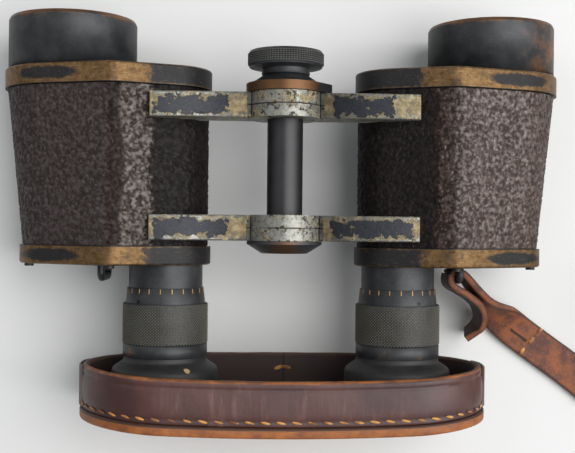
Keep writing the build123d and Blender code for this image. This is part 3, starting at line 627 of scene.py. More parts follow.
# Band along the ridge and the outer round: it raises the coat, and it also lightens the base colour below as a painted
# highlight.
gloss_and_highlight = (leather_reach - highlight_band_start).rise(-0.6 * MM, 1.0 * MM)
ridge_strip = leather_reach.rise(43.6 * MM, 44.8 * MM) * (1 - leather_reach.rise(47 * MM, 49 * MM))
left_ridge = ridge_strip * (1 - on_right_barrel)
left_outer = leather_reach.rise(46 * MM, 49 * MM) * (1 - on_right_barrel)
right_outer = leather_reach.rise(44 * MM, 50 * MM) * on_right_barrel
gloss_and_highlight = gloss_and_highlight * (1 - left_ridge * 0.9) * (1 - left_outer * 0.45) * (1 - leather_reach.rise(69 * MM, 76 * MM) * 0.6)
reddish = (leather_reach.rise(40 * MM, 42 * MM) * on_right_barrel + left_ridge) * leather_patches.rise(0.3, 0.6)
reddish = reddish * (1 - leather_reach.rise(47 * MM, 51 * MM) * 0.8)
# The outer faces are coloured lighter as painted sheen, and the band along the ridge lighter still as a painted
# highlight.
hide_top = body_leather.mix(left_outer, shade(36, 31, 29), shade(74, 64, 63))
hide_top = body_leather.mix(right_outer, hide_top, shade(92, 79, 75))
hide_top = body_leather.mix(gloss_and_highlight * (1 - left_outer) * 0.6, hide_top, shade(112, 92, 82))
hide_top = body_leather.mix(reddish * 0.7, hide_top, shade(60, 40, 35))
# The inner faces towards the hinge keep the darkest colour, as painted shade.
hide_low = body_leather.mix(left_outer + right_outer, shade(16, 14, 13), shade(38, 32, 30))
# Pebble tops lighter than the hollows, as painted glints.
hide = body_leather.mix(0.1 + sparkle * 0.7 + leather_patches * 0.2, hide_low, hide_top)
body_leather.surface(
    Base_Color=hide,
    Roughness=0.5 + fine_grain * 0.1,
    Specular_IOR_Level=0.06,
    Coat_Weight=0.04 + sparkle * (0.08 + gloss_and_highlight * 0.95),
    Coat_Roughness=0.3,
    Normal=body_leather.bump(pores * 0.4 - fine_grain, 0.1 * MM, 0.8),
)
for side in ("left", "right"):
    cover = piece(f"{side}_leather", leather_mesh(side), body_leather.material, f"{side}_barrel")
    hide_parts(f"{side}_leather_cover")

# Cover plates. Shallow brass cups pressed over both ends of each housing, lacquered black. The lacquer is
# left near the hinge and in a long island on the outer round, and rubbed to brown brass everywhere else.

lacquer_inner_edge = 37.0 * MM
island_middle = 65.0 * MM
island_half_length = 9.5 * MM
island_half_height = 1.9 * MM


def lacquered_brass(name, plate_node):
    """Brass with its black lacquer rubbed off, for the plates at one end of the pair."""
    finish = Finish(name)
    low, high = (Vector(corner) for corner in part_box(plate_node))
    across = abs(finish.axis("X"))
    cloud = finish.noise(5 * MM, 4.0, 0.6)
    ragged = finish.noise(1.6 * MM, 6.0, 0.65)
    fine = finish.noise(0.4 * MM, 4.0, 0.6)
    rub_and_glint_streaks = finish.noise(1.2 * MM, 4.0, 0.6, finish.stretched(0.3, 2.4, 1.0))
    from_middle = abs(finish.axis("Y") - (low.y + high.y) / 2)
    island = ((across - island_middle) / island_half_length) ** 2.0 + (from_middle / island_half_height) ** 2.0
    island = 1 - (island + (cloud - 0.5) * 1.2 + (ragged - 0.5) * 0.8).rise(0.55, 1.2)
    hinge_side = across + (cloud - 0.5) * 12 * MM + (ragged - 0.5) * 5 * MM
    hinge_side = 1 - hinge_side.rise(lacquer_inner_edge - 1.5 * MM, lacquer_inner_edge + 2.5 * MM)
    edge_bare = (from_middle / ((high.y - low.y) / 2) + (ragged - 0.5) * 0.5).rise(0.8, 1.0) * 0.7
    stains = (cloud * 0.6 + ragged * 0.5).rise(0.58, 0.72) * 0.75
    end_face = from_middle.rise((high.y - low.y) / 2 - 0.2 * MM, (high.y - low.y) / 2 - 0.05 * MM)
    end_face = end_face * (cloud * 0.6 + ragged * 0.5).rise(0.38, 0.48)
    lacquer = island.highest(hinge_side * (1 - edge_bare)).highest(stains).highest(end_face)
    lacquer = lacquer * (1 - rub_and_glint_streaks.rise(0.6, 0.72) * 0.35)
    brass = finish.mix(ragged.rise(0.35, 0.65), shade(86, 64, 40), shade(122, 95, 62))
    # Lighter brass along the streaks: partly rubbed metal, partly a painted highlight.
    brass = finish.mix(rub_and_glint_streaks.rise(0.5, 0.7) * 0.4, brass, shade(150, 126, 94))
    brass = finish.mix(fine.rise(0.55, 0.8) * 0.5, brass, shade(56, 42, 29))
    black = finish.mix(fine.rise(0.3, 0.75), shade(26, 25, 26), shade(42, 41, 42))
    finish.surface(
        Base_Color=finish.mix(lacquer, brass, black),
        Metallic=0.7 - lacquer * 0.65,
        Roughness=0.4 + ragged * 0.14,
        Specular_IOR_Level=0.22,
        Normal=finish.bump(lacquer * 0.6 + fine * 0.3, 0.04 * MM),
    )
    return finish


screw_iron = Finish("screw_iron")
screw_iron.surface(
    Base_Color=screw_iron.mix(screw_iron.noise(0.6 * MM), shade(24, 22, 21), shade(52, 44, 38)),
    Metallic=0.4,
    Roughness=0.5,
)
for end in ("objective", "eyepiece"):
    plate_finish = lacquered_brass(f"{end}_plate_brass", f"right_{end}_cover_plate")
    for side in ("left", "right"):
        smooth_copy(f"{side}_{end}_cover_plate", f"{side}_{end}_plate", plate_finish.material)
for side in ("left", "right"):
    smooth_copy(f"{side}_cover_screws", f"{side}_screws", screw_iron.material)

# Objective tubes. Thin brass tubes screwed into the front plates, chemically blackened, with the black
# rubbed brown along the rim and on the side that is handled. The doublets sit deep inside in plain cells.


def blackened_brass(name, rub=None, crest_wear_and_highlight=0.0):
    """Turned brass with a chemical black finish, finely scratched, and rubbed to brown where rub is high."""
    finish = Finish(name)
    fine = finish.noise(0.5 * MM, 4.0, 0.6)
    cloud = finish.noise(6 * MM, 4.0, 0.6)
    turning = finish.noise(0.9 * MM, 3.0, 0.6, finish.stretched(0.12, 3.0, 0.12))
    black = finish.mix(cloud.rise(0.3, 0.7), shade(38, 39, 41), shade(58, 59, 61))
    black = finish.mix(fine.rise(0.55, 0.8) * 0.5, black, shade(80, 78, 74))
    if crest_wear_and_highlight:
        crest = finish.attribute("crest")
        # Knurl crests lighter than the grooves: worn metal, and a painted highlight on each crest.
        black = finish.mix(crest.rise(0.2, 0.8) * crest_wear_and_highlight, black, shade(166, 161, 140))
    rough = 0.4 + cloud * 0.12 + (turning - 0.5) * 0.12
    specks = (fine + cloud * 0.6).rise(1.02, 1.08)
    worn = specks if rub is None else rub(finish, cloud, fine).highest(specks)
    brown = finish.mix(cloud, shade(96, 64, 40), shade(146, 100, 58))
    finish.surface(
        Base_Color=finish.mix(worn * 0.85, black, brown),
        Metallic=0.35 + worn * 0.35,
        Roughness=rough,
        Normal=finish.bump(turning * 0.5 + fine * 0.5, 0.025 * MM),
    )
    return finish


rim_y = objective_high.y


def tube_rub(finish, cloud, fine):
    """Brown along the front rim, and in drifts on the outer side of the right tube."""
    rim = (finish.axis("Y") + (cloud - 0.5) * 3 * MM).rise(rim_y - 1.6 * MM, rim_y - 0.4 * MM)
    drift = (finish.axis("X") + (cloud - 0.5) * 16 * MM).rise(66 * MM, 74 * MM) * (fine + cloud).rise(0.85, 1.15)
    return (rim * 0.75).highest(drift * 0.9)


tube_black = blackened_brass("tube_black", tube_rub)
cell_black = blackened_brass("cell_black")
lens_glass = Finish("lens_glass")
lens_glass.surface(
    Base_Color=(0.93, 0.96, 0.95, 1.0),
    Roughness=0.02 + lens_glass.noise(4 * MM, 3.0).rise(0.55, 0.9) * 0.06,
    Transmission_Weight=1.0,
    IOR=1.52,
)
prism_steel = Finish("prism_steel")
prism_steel.surface(
    Base_Color=prism_steel.mix(prism_steel.noise(2 * MM), shade(120, 122, 126), shade(160, 161, 163)),
    Metallic=0.9,
    Roughness=0.35 + prism_steel.noise(0.8 * MM) * 0.15,
)
for side in ("left", "right"):
    smooth_copy(f"{side}_objective_tube", f"{side}_front_tube", tube_black.material)
    for node in ("objective_cell", "objective_lock_ring", "ocular_cell"):
        smooth_copy(f"{side}_{node}", f"{side}_{node}_black", cell_black.material)
    for node in ("objective_crown_lens", "objective_flint_lens", "field_lens", "eye_lens",
                 "objective_prism", "eyepiece_prism"):
        smooth_copy(f"{side}_{node}", f"{side}_{node}_glass", lens_glass.material)
    smooth_copy(f"{side}_prism_shelf", f"{side}_shelf", prism_steel.material)
    smooth_copy(f"{side}_prism_clips", f"{side}_clips", prism_steel.material)

# Eyepieces. A plain black tube on each rear plate, and the focus ring that screws along it: a tapered
# scale with inlaid brass lines, a diamond-knurled grip and a plain band, all turned from blackened brass.

scale_length = 4.4 * MM
knurl_length = 11.3 * MM
band_length = 3.7 * MM
scale_front_radius = 10.8 * MM
scale_back_radius = 11.2 * MM
band_radius = 11.9 * MM
grip_radius = eyepiece_high.x - eyepiece_axis.x
ring_bore = 10.5 * MM
scale_y = eyepiece_high.y
knurl_y = scale_y - scale_length
band_y = knurl_y - knurl_length
cup_y = band_y - band_length
diamonds_round = 84
diamond_rows = 13
knurl_depth = 0.4 * MM
samples_per_diamond = 4


def turned_mesh(profile, axis, steps, closed=True):
    """A profile of (radius, y) spun once round an axis along Y."""
    mesh = bmesh.new()
    verts = [mesh.verts.new((axis.x + radius, y, axis.z)) for radius, y in profile]
    pairs = list(zip(verts, verts[1:] + verts[:1])) if closed else list(zip(verts, verts[1:]))
    edges = [mesh.edges.new(pair) for pair in pairs]
    bmesh.ops.spin(
        mesh, geom=verts + edges, cent=(axis.x, 0, axis.z), axis=(0, 1, 0), angle=math.tau, steps=steps, use_merge=True
    )
    bmesh.ops.remove_doubles(mesh, verts=mesh.verts, dist=0.001 * MM)
    bmesh.ops.recalc_face_normals(mesh, faces=mesh.faces)
    return mesh


def ridge_wave(value):
    """0 in a groove and 1 on a crest, once for each whole number."""
    return abs((value % 1.0) - 0.5) * 2


def diamond_cut(round_share, along_share):
    turn = round_share * diamonds_round
    row = along_share * diamond_rows
    return min(ridge_wave(turn + row), ridge_wave(turn - row))


def cut_knurl(mesh, axis, radius, y_from, y_to, depth, cut):
    """Presses a knurl into the points of a turned mesh that lie on its grip."""
    crest = mesh.verts.layers.float.new("crest")
    for vert in mesh.verts:
        out = Vector((vert.co.x - axis.x, 0, vert.co.z - axis.z))
        if out.length > radius - 0.01 * MM and y_to - 1e-7 <= vert.co.y <= y_from + 1e-7:
            height = cut(math.atan2(out.z, out.x) / math.tau, (y_from - vert.co.y) / (y_from - y_to))
            vert[crest] = height
            vert.co -= out.normalized() * depth * (1 - height)


def focus_ring_mesh(axis):
    grip_steps = diamond_rows * samples_per_diamond
    grip = [
        (grip_radius, knurl_y - 0.35 * MM - (knurl_length - 0.7 * MM) * step / grip_steps)
        for step in range(grip_steps + 1)
    ]
    profile = [
        (ring_bore, scale_y),
        (scale_front_radius - 0.12 * MM, scale_y),
        (scale_front_radius, scale_y - 0.15 * MM),
        (scale_back_radius, knurl_y + 0.1 * MM),
        (scale_back_radius, knurl_y),
        (grip_radius - knurl_depth, knurl_y),
        *grip,
        (grip_radius - knurl_depth, band_y),
        (band_radius - 0.25 * MM, band_y),
        (band_radius, band_y - 0.25 * MM),
        (band_radius, cup_y + 0.2 * MM),
        (band_radius - 0.2 * MM, cup_y),
        (ring_bore, cup_y),
    ]
    mesh = turned_mesh(profile, axis, diamonds_round * samples_per_diamond)
    cut_knurl(mesh, axis, grip_radius, grip[0][1], grip[-1][1], knurl_depth, diamond_cut)
    return mesh


def ring_rub(finish, cloud, fine):
    """The band's reddish patches, where fingers turn the ring."""
    on_band = 1 - finish.axis("Y").rise(band_y - 0.6 * MM, band_y + 0.2 * MM)
    return on_band * (cloud + fine * 0.4).rise(0.78, 0.95) * 0.7


ring_black = blackened_brass("ring_black", ring_rub, crest_wear_and_highlight=0.45)
plain_tube_black = blackened_brass("plain_tube_black")
tick_brass = Finish("tick_brass")
tick_brass.surface(
    Base_Color=tick_brass.mix(tick_brass.noise(0.4 * MM), shade(146, 104, 54), shade(200, 152, 88)),
    Metallic=0.35,
    Roughness=0.45,
)
set_screw_black = Finish("set_screw_black")
set_screw_black.surface(
    Base_Color=set_screw_black.mix(set_screw_black.noise(0.3 * MM), shade(6, 6, 7), shade(14, 14, 15)),
    Metallic=0.4,
    Roughness=0.4,
)

tick_step = math.radians(17.0)
tick_first = math.radians(-88.0)
tick_count = 11
tick_length = 1.4 * MM
tick_width = 0.26 * MM
tick_y = scale_y - 0.8 * MM
set_screw_radius = 0.55 * MM
set_screw_turns = {"left": math.radians(-37.0), "right": math.radians(24.0)}


def on_ring(axis, radius, turn, y):
    """Matrix that stands a small piece on a ring: its z axis outwards, its y axis along the tube."""
    out = Vector((math.sin(turn), 0, math.cos(turn)))
    along = Vector((0, 1, 0))
    place = Vector((axis.x, y, axis.z)) + out * radius
    return Matrix.Translation(place) @ Matrix((along.cross(out), along, out)).transposed().to_4x4()


def scale_ticks_mesh(axis):
    """Inlaid lines, each a slim bar with rounded edges, sunk in the scale's taper."""
    mesh = bmesh.new()
    slope = (scale_back_radius - scale_front_radius) / scale_length
    radius = scale_front_radius + slope * (scale_y - tick_y)
    for index in range(tick_count):
        bar = bmesh.ops.create_cube(mesh, size=1.0)["verts"]
        bmesh.ops.scale(mesh, verts=bar, vec=(tick_width, tick_length, 0.3 * MM))
        bmesh.ops.rotate(mesh, verts=bar, cent=(0, 0, 0), matrix=Matrix.Rotation(-slope, 3, "X"))
        bmesh.ops.transform(
            mesh, matrix=on_ring(axis, radius - 0.1 * MM, tick_first + index * tick_step, tick_y), verts=bar
        )
    bmesh.ops.bevel(
        mesh, geom=mesh.edges[:], offset=0.05 * MM, affect="EDGES", segments=1, profile=0.5, material=-1
    )
    return mesh


def set_screw_mesh(axis, turn):
    """Grub screw that locks the scale, a low dark head just proud of the ring."""
    mesh = bmesh.new()
    bmesh.ops.create_circle(mesh, cap_ends=True, segments=20, radius=set_screw_radius)
    bmesh.ops.inset_region(mesh, faces=mesh.faces[:], thickness=0.12 * MM, depth=0.06 * MM)
    bmesh.ops.transform(mesh, matrix=on_ring(axis, scale_back_radius, turn, knurl_y + 0.75 * MM), verts=mesh.verts)
    return mesh


for side, sign in (("left", -1), ("right", 1)):
    axis = Vector((sign * eyepiece_axis.x, 0, eyepiece_axis.z))
    smooth_copy(f"{side}_eyepiece_tube", f"{side}_plain_tube", plain_tube_black.material)
    ring = piece(f"{side}_ring", focus_ring_mesh(axis), ring_black.material, f"{side}_focus", 50.0)
    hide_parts(f"{side}_focus_ring")
    piece(f"{side}_scale_ticks", scale_ticks_mesh(axis), tick_brass.material, f"{side}_focus")
    piece(f"{side}_set_screw", set_screw_mesh(axis, set_screw_turns[side]), set_screw_black.material, f"{side}_focus")

# Eyecups. Turned hard rubber bells on the focus rings, dull black in faintly clouded shades,
# with a small chip on the left one.

chip_place = (-26.2 * MM, -42.2 * MM, 37.3 * MM)
ebonite = Finish("ebonite")
ebonite_cloud = ebonite.noise(5 * MM, 5.0, 0.6)
ebonite_fine = ebonite.noise(0.4 * MM, 3.0)
to_chip = ebonite.node(
    "ShaderNodeVectorMath", {"operation": "DISTANCE"}, {0: ebonite.place(), 1: chip_place}, "Value"
)
chip = 1 - (to_chip + (ebonite_fine - 0.5) * 0.9 * MM).rise(0.75 * MM, 0.95 * MM)
ebonite_black = ebonite.mix(ebonite_cloud.rise(0.3, 0.75), shade(26, 26, 27), shade(42, 41, 39))
ebonite.surface(
    Base_Color=ebonite.mix(chip, ebonite_black, shade(176, 150, 110)),
    Roughness=0.5 + ebonite_cloud * 0.14,
    Normal=ebonite.bump(ebonite_fine * 0.25 - chip, 0.08 * MM),
)
cup_low, cup_high = (Vector(corner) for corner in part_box("right_eyecup"))
cup_radius = (cup_high.x - cup_low.x) / 2
cup_neck_radius = 11.7 * MM
cup_throat = 6.6 * MM
cup_wall = 1.7 * MM
cup_floor = 3.0 * MM
cup_round = 0.6 * MM


def eyecup_mesh(axis):
    """Bell with a short neck and full shoulders, dished round the eye lens."""
    flare = [
        (cup_neck_radius, 0.0), (cup_neck_radius, 0.9 * MM), (cup_neck_radius + 0.4 * MM, 1.5 * MM),
        (cup_radius - 0.7 * MM, 2.9 * MM), (cup_radius, 4.3 * MM), (cup_radius, 7.0 * MM),
    ]
    dish = [
        (cup_radius - cup_wall, 0.0), (cup_radius - cup_wall - 0.4 * MM, 3.0 * MM),
        (cup_throat + 3.0 * MM, cup_high.y - cup_low.y - cup_floor), (cup_throat, cup_high.y - cup_low.y - cup_floor),
    ]
    profile = [(point.x, cup_high.y - point.y) for point in spline_points([(r, y, 0.0) for r, y in flare], 6)]
    profile += [(cup_radius, cup_low.y + cup_round), (cup_radius - cup_round, cup_low.y)]
    profile += [(point.x, cup_low.y + point.y) for point in spline_points([(r, y, 0.0) for r, y in dish], 6)]
    profile.append((cup_throat, cup_high.y))
    return turned_mesh(profile, axis, 120)


for side, sign in (("left", -1), ("right", 1)):
    cup = piece(f"{side}_cup", eyecup_mesh(Vector((sign * eyepiece_axis.x, 0, eyepiece_axis.z))), ebonite.material,
                f"{side}_focus")
    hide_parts(f"{side}_eyecup")

# Hinge. A black spacer tube between the knuckles, a conical end cap at the eyepiece end, and at the other
# end a copper-brown brass index plate, a blued conical washer and the knurled knob that clamps the pair.

knob_low, knob_high = (Vector(corner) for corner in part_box("clamp_knob"))
hinge_axis = (knob_low + knob_high) / 2
knob_radius = knob_high.x - hinge_axis.x
knob_neck_radius = 6.6 * MM
knob_bore = 2.3 * MM
knob_rim_y = knob_high.y - 4.2 * MM
knob_edge = 0.5 * MM
knob_dish_radius = 7.2 * MM
knob_dish_depth = 0.4 * MM
teeth_round = 88
tooth_rows = 6
tooth_depth = 0.3 * MM


def square_cut(round_share, along_share):
    return min(ridge_wave(round_share * teeth_round + 0.5), ridge_wave(along_share * tooth_rows + 0.5)) ** 0.7


def knob_mesh():
    grip_from = knob_high.y - knob_edge
    grip_to = knob_rim_y + knob_edge
    grip_steps = tooth_rows * 4
    grip = [(knob_radius, grip_from + (grip_to - grip_from) * step / grip_steps) for step in range(grip_steps + 1)]
    profile = [
        (knob_bore, knob_high.y - knob_dish_depth),
        (knob_dish_radius, knob_high.y - knob_dish_depth),
        (knob_dish_radius + knob_edge, knob_high.y),
        (knob_radius - knob_edge, knob_high.y),
        *grip,
        (knob_radius - knob_edge, knob_rim_y),
        (knob_neck_radius, knob_rim_y - knob_edge),
        (knob_neck_radius, knob_low.y + 0.2 * MM),
        (knob_neck_radius - 0.2 * MM, knob_low.y),
        (knob_bore, knob_low.y),
    ]
    mesh = turned_mesh(profile, hinge_axis, teeth_round * 4)
    cut_knurl(mesh, hinge_axis, knob_radius, grip_from, grip_to, tooth_depth, square_cut)
    return mesh


def cap_rub(finish, cloud, fine):
    """Brown metal on the middle of the end cap's cone."""
    return 0.5 - (abs(finish.axis("X")) + (cloud - 0.5) * 8 * MM).rise(1.0 * MM, 6.5 * MM) * 0.5


knob_black = blackened_brass("knob_black", crest_wear_and_highlight=0.15)
cap_black = blackened_brass("cap_black", cap_rub)
copper_brown = Finish("copper_brown")
copper_cloud = copper_brown.noise(3 * MM, 5.0, 0.6)
copper_black = (copper_brown.axis("X") + (copper_cloud - 0.5) * 6 * MM).rise(7 * MM, 9.5 * MM)
copper_brown.surface(
    Base_Color=copper_brown.mix(
        copper_black, copper_brown.mix(copper_cloud, shade(78, 53, 34), shade(112, 80, 51)), shade(30, 28, 28)
    ),
    Metallic=0.75 - copper_black * 0.4,
    Roughness=0.36 + copper_cloud * 0.12,
    Normal=copper_brown.bump(copper_brown.noise(0.5 * MM), 0.03 * MM),
)
tube_enamel = Finish("tube_enamel")
enamel_cloud = tube_enamel.noise(4 * MM, 4.0, 0.6)
enamel_chips = tube_enamel.cells(5.5 * MM, "F1") + (tube_enamel.noise(0.8 * MM) - 0.5) * 0.08
enamel_chips = 1 - enamel_chips.rise(0.07, 0.09)
enamel_black = tube_enamel.mix(enamel_cloud.rise(0.3, 0.7), shade(22, 22, 24), shade(32, 32, 34))
tube_enamel.surface(
    Base_Color=tube_enamel.mix(enamel_chips * 0.9, enamel_black, shade(112, 88, 58)),
    Roughness=0.38 + enamel_cloud * 0.1,
    Normal=tube_enamel.bump(tube_enamel.noise(1.2 * MM, 3.0) * 0.3 - enamel_chips, 0.03 * MM),
)
knob = piece("knob", knob_mesh(), knob_black.material, "hinge_clamp", 50.0)
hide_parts("clamp_knob")
smooth_copy("hinge_tube", "spacer_tube", tube_enamel.material)
smooth_copy("hinge_end_cap", "end_cap", cap_black.material)
smooth_copy("index_plate", "pointer_plate", copper_brown.material)
smooth_copy("clamp_washer", "washer", knob_black.material)
smooth_copy("hinge_axle", "axle", prism_steel.material)

# Rain guard. A loose leather trough for the eyecups: a wall of red-brown bridle leather on a thicker tan sole,
# sewn together with waxed tan thread. The wall is bowed from use, and its rim is rubbed to orange.

guard_low, guard_high = (Vector(corner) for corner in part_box("rain_guard_wall"))
guard_wall = 2.2 * MM
guard_end_radius = (guard_high.z - guard_low.z) / 2
guard_end_x = guard_high.x - guard_end_radius
guard_middle_z = (guard_high.z + guard_low.z) / 2
guard_bow = 2.3 * MM
guard_shift = 0.9 * MM
guard_spacing = 0.9 * MM
rim_fold = 2.3 * MM
sole_low, sole_high = (Vector(corner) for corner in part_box("rain_guard_sole"))
sole_proud = sole_high.x - guard_high.x


def guard_circles(inset):
    radius = guard_end_radius - inset
    return [(guard_end_x, guard_middle_z, radius), (-guard_end_x, guard_middle_z, radius)]


def bowed(mesh):
    """Bends the guard as the worn one is: the upper side of its mouth sags away from the eyepieces."""
    for vert in mesh.verts:
        reach = vert.co.x / guard_high.x
        height = (vert.co.z - guard_low.z) / (guard_high.z - guard_low.z)
        vert.co.y -= guard_bow * max(0.0, 1 - reach * reach) * max(0.0, height)
        vert.co.x += guard_shift * max(0.0, height)


def stations_skin(mesh, rows, closed):
    """Skin through rings of the guard, each given as (inset, y)."""
    rings = [round_run(mesh, y, guard_circles(inset), guard_circles(0), guard_spacing) for inset, y in rows]
    pairs = list(zip(rings, rings[1:] + rings[:1])) if closed else list(zip(rings, rings[1:]))
    for first, second in pairs:
        bmesh.ops.bridge_loops(mesh, edges=list(first) + list(second))
    return rings


def guard_wall_mesh():
    """Wall with a rounded rim, a creased line under it and a shallow gutter for the stitches."""
    mesh = bmesh.new()
    height = guard_high.y - guard_low.y
    outside = [
        (0.25 * MM, 0.0), (0.02 * MM, 0.35 * MM), (0.18 * MM, 0.95 * MM), (0.22 * MM, 1.5 * MM), (0.02 * MM, 2.1 * MM),
        (-0.1 * MM, 3.4 * MM), (-0.15 * MM, 5.0 * MM), (-0.12 * MM, 6.8 * MM), (-0.02 * MM, 8.4 * MM),
        (0.04 * MM, height - rim_fold - 0.35 * MM), (0.24 * MM, height - rim_fold), (0.05 * MM, height - rim_fold + 0.35 * MM),
        (0.02 * MM, height - 0.9 * MM), (0.2 * MM, height - 0.35 * MM), (0.6 * MM, height - 0.05 * MM),
    ]
    inside = [
        (1.1 * MM, height), (1.6 * MM, height - 0.05 * MM), (2.0 * MM, height - 0.35 * MM),
        (guard_wall, height - 0.9 * MM), (guard_wall + 0.05 * MM, height / 2), (guard_wall, 0.0),
    ]
    rows = [(inset, guard_low.y + y) for inset, y in outside + inside]
    stations_skin(mesh, rows, True)
    bmesh.ops.recalc_face_normals(mesh, faces=mesh.faces)
    for vert in mesh.verts:
        vert.co += vert.normal * 0.12 * MM * noise.noise(vert.co / (7 * MM))
    bowed(mesh)
    return mesh


def sole_mesh():
    """Plate a little larger than the wall, with its edge burnished round."""
    mesh = bmesh.new()
    edge = sole_high.y - sole_low.y
    rim = [(-0.05 * MM, 0.0), (-0.45 * MM, 0.15 * MM), (-0.6 * MM, 0.6 * MM), (-0.6 * MM, 1.5 * MM), (-0.6 * MM, 2.4 * MM),
           (-0.4 * MM, 2.85 * MM), (0.1 * MM, edge)]
    flat = [4 * MM, 10 * MM, 16 * MM, guard_end_radius - 0.4 * MM]
    rows = [(inset, sole_high.y) for inset in reversed(flat)]
    rows += [(inset, sole_high.y - y) for inset, y in rim]
    rows += [(inset, sole_low.y) for inset in flat]
    rings = stations_skin(mesh, rows, False)
    bmesh.ops.contextual_create(mesh, geom=list(rings[0]))
    bmesh.ops.contextual_create(mesh, geom=list(rings[-1]))
    bmesh.ops.recalc_face_normals(mesh, faces=mesh.faces)
    bowed(mesh)
    return mesh


keeper_angle = math.radians(17.0)
keeper_thickness = 0.8 * MM
keeper_skive = math.radians(6.0)
keeper_low, keeper_high = (Vector(corner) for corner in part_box("rain_guard_loops"))


def keepers_mesh():
    """Leather strip round each end of the wall, pared thin towards its own ends."""
    mesh = bmesh.new()
    inner = guard_end_radius + 0.1 * MM
    outer = guard_end_radius + keeper_thickness
    corner = 0.35 * MM
    top = guard_high.y - 0.1 * MM
    section = [
        (inner, keeper_low.y + corner), (inner + corner, keeper_low.y), (outer - corner, keeper_low.y),
        (outer, keeper_low.y + corner), (outer, top - corner), (outer - corner, top),
        (inner + corner, top), (inner, top - corner),
    ]
    for sign in (-1, 1):
        start = Vector((math.cos(keeper_angle), 0, -math.sin(keeper_angle)))
        verts = []
        for radius, y in section:
            verts.append(mesh.verts.new((
                sign * (guard_end_x + radius * start.x), y, guard_middle_z + radius * start.z
            )))
        first = mesh.faces.new(verts)
        bmesh.ops.spin(
            mesh, geom=[first, *first.edges, *first.verts], cent=(sign * guard_end_x, 0, guard_middle_z),
            axis=(0, -sign, 0), angle=2 * keeper_angle, steps=26,
        )
    for vert in mesh.verts:
        out = Vector((abs(vert.co.x) - guard_end_x, 0, vert.co.z - guard_middle_z))
        left_over = (keeper_angle - abs(math.atan2(out.z, out.x))) / keeper_skive
        thickness = (out.length - inner) * min(1.0, max(0.02, left_over))
        out = out.normalized() * (inner + thickness)
        vert.co.x = math.copysign(guard_end_x + out.x, vert.co.x)
        vert.co.z = guard_middle_z + out.z
    bmesh.ops.recalc_face_normals(mesh, faces=mesh.faces)
    bowed(mesh)
    return mesh


stitch_count = 68
stitch_length = 2.7 * MM
stitch_thread = 0.55 * MM
stitch_slant = math.radians(-13.0)
stitch_y = guard_low.y + 1.25 * MM
wall_joint = 1.4 * MM
knot_y = -45.7 * MM


def guard_place(share):
    """Place and outward direction on the wall at a share of the way round it."""
    straight = 2 * guard_end_x
    bend = math.pi * guard_end_radius
    run = share * 2 * (straight + bend)
    if run < straight:
        return Vector((guard_end_x - run, 0, guard_high.z)), Vector((0, 0, 1))
    run -= straight
    if run < bend:
        turn = math.pi / 2 + run / guard_end_radius
        out = Vector((math.cos(turn), 0, math.sin(turn)))
        return Vector((-guard_end_x, 0, guard_middle_z)) + out * guard_end_radius, out
    run -= bend
    if run < straight:
        return Vector((-guard_end_x + run, 0, guard_low.z)), Vector((0, 0, -1))
    turn = 3 * math.pi / 2 + (run - straight) / guard_end_radius
    out = Vector((math.cos(turn), 0, math.sin(turn)))
    return Vector((guard_end_x, 0, guard_middle_z)) + out * guard_end_radius, out


def stitches_mesh():
    """Slanted thread lengths in the gutter above the sole."""
    mesh = bmesh.new()
    for index in range(stitch_count):
        place, out = guard_place((index + 0.5) / stitch_count)
        along = Vector((0, 1, 0)).cross(out)
        frame_here = Matrix((along, Vector((0, 1, 0)), out)).transposed().to_4x4()
        stretch = 1 + 0.12 * noise.noise(Vector((index * 1.7, 0, 0)))
        slant = Matrix.Rotation(stitch_slant * (1 + 0.3 * noise.noise(Vector((0, index * 2.3, 0)))), 4, "Z")
        spot = Matrix.Translation(Vector((place.x, stitch_y, place.z)) + out * 0.02 * MM)
        add_stitch(mesh, spot @ frame_here @ slant, stitch_length * stretch, stitch_thread * 1.35, stitch_thread)
    for offset, turn in ((-1.5 * MM, 20.0), (0.9 * MM, -12.0)):
        knot = Matrix.Translation((wall_joint + offset, knot_y, guard_low.z + guard_wall + 0.1 * MM))
        add_stitch(mesh, knot @ Matrix.Rotation(math.radians(turn), 4, "Z"), 3.0 * MM, 1.3 * MM, 0.7 * MM)
    bowed(mesh)
    return mesh


bridle_leather = Finish("bridle_leather")
bridle_cloud = bridle_leather.noise(14 * MM, 4.0, 0.55)
bridle_pores = bridle_leather.noise(0.4 * MM, 4.0, 0.65)
bridle_folds = bridle_leather.noise(3.4 * MM, 4.0, 0.6, bridle_leather.stretched(1.4, 0.22, 1.4))
bridle_scuffs = bridle_leather.noise(2.0 * MM, 4.0, 0.65, bridle_leather.stretched(0.4, 1.0, 1.0))
guard_x = bridle_leather.axis("X")
guard_lift = (bridle_leather.axis("Z") - guard_low.z) / (guard_high.z - guard_low.z)
bow_here = (1 - (guard_x / guard_high.x) ** 2.0).highest(0.0) * guard_lift * guard_bow
flat_y = bridle_leather.axis("Y") + bow_here
on_rim = (flat_y + (bridle_cloud - 0.5) * 0.9 * MM).rise(guard_high.y - 0.85 * MM, guard_high.y - 0.35 * MM)
rim_rub = on_rim * (0.3 + bridle_scuffs.rise(0.42, 0.62) * 0.6) * guard_lift.rise(0.55, 0.8)
past_end = (abs(guard_x - guard_shift * guard_lift) - guard_end_x).highest(0.0)
from_axis = ((bridle_leather.axis("Z") - guard_middle_z) ** 2.0 + past_end ** 2.0) ** 0.5
inside_face = 1 - from_axis.rise(guard_end_radius - guard_wall * 0.75, guard_end_radius - guard_wall * 0.45)
butt_joint = (1 - abs(guard_x - wall_joint).rise(0.1 * MM, 0.3 * MM)) * (1 - guard_lift.rise(0.3, 0.5))
gutter = 1 - abs(flat_y - stitch_y).rise(0.5 * MM, 1.1 * MM)
bridle = bridle_leather.mix(bridle_cloud.rise(0.32, 0.68), shade(58, 30, 27), shade(80, 47, 42))
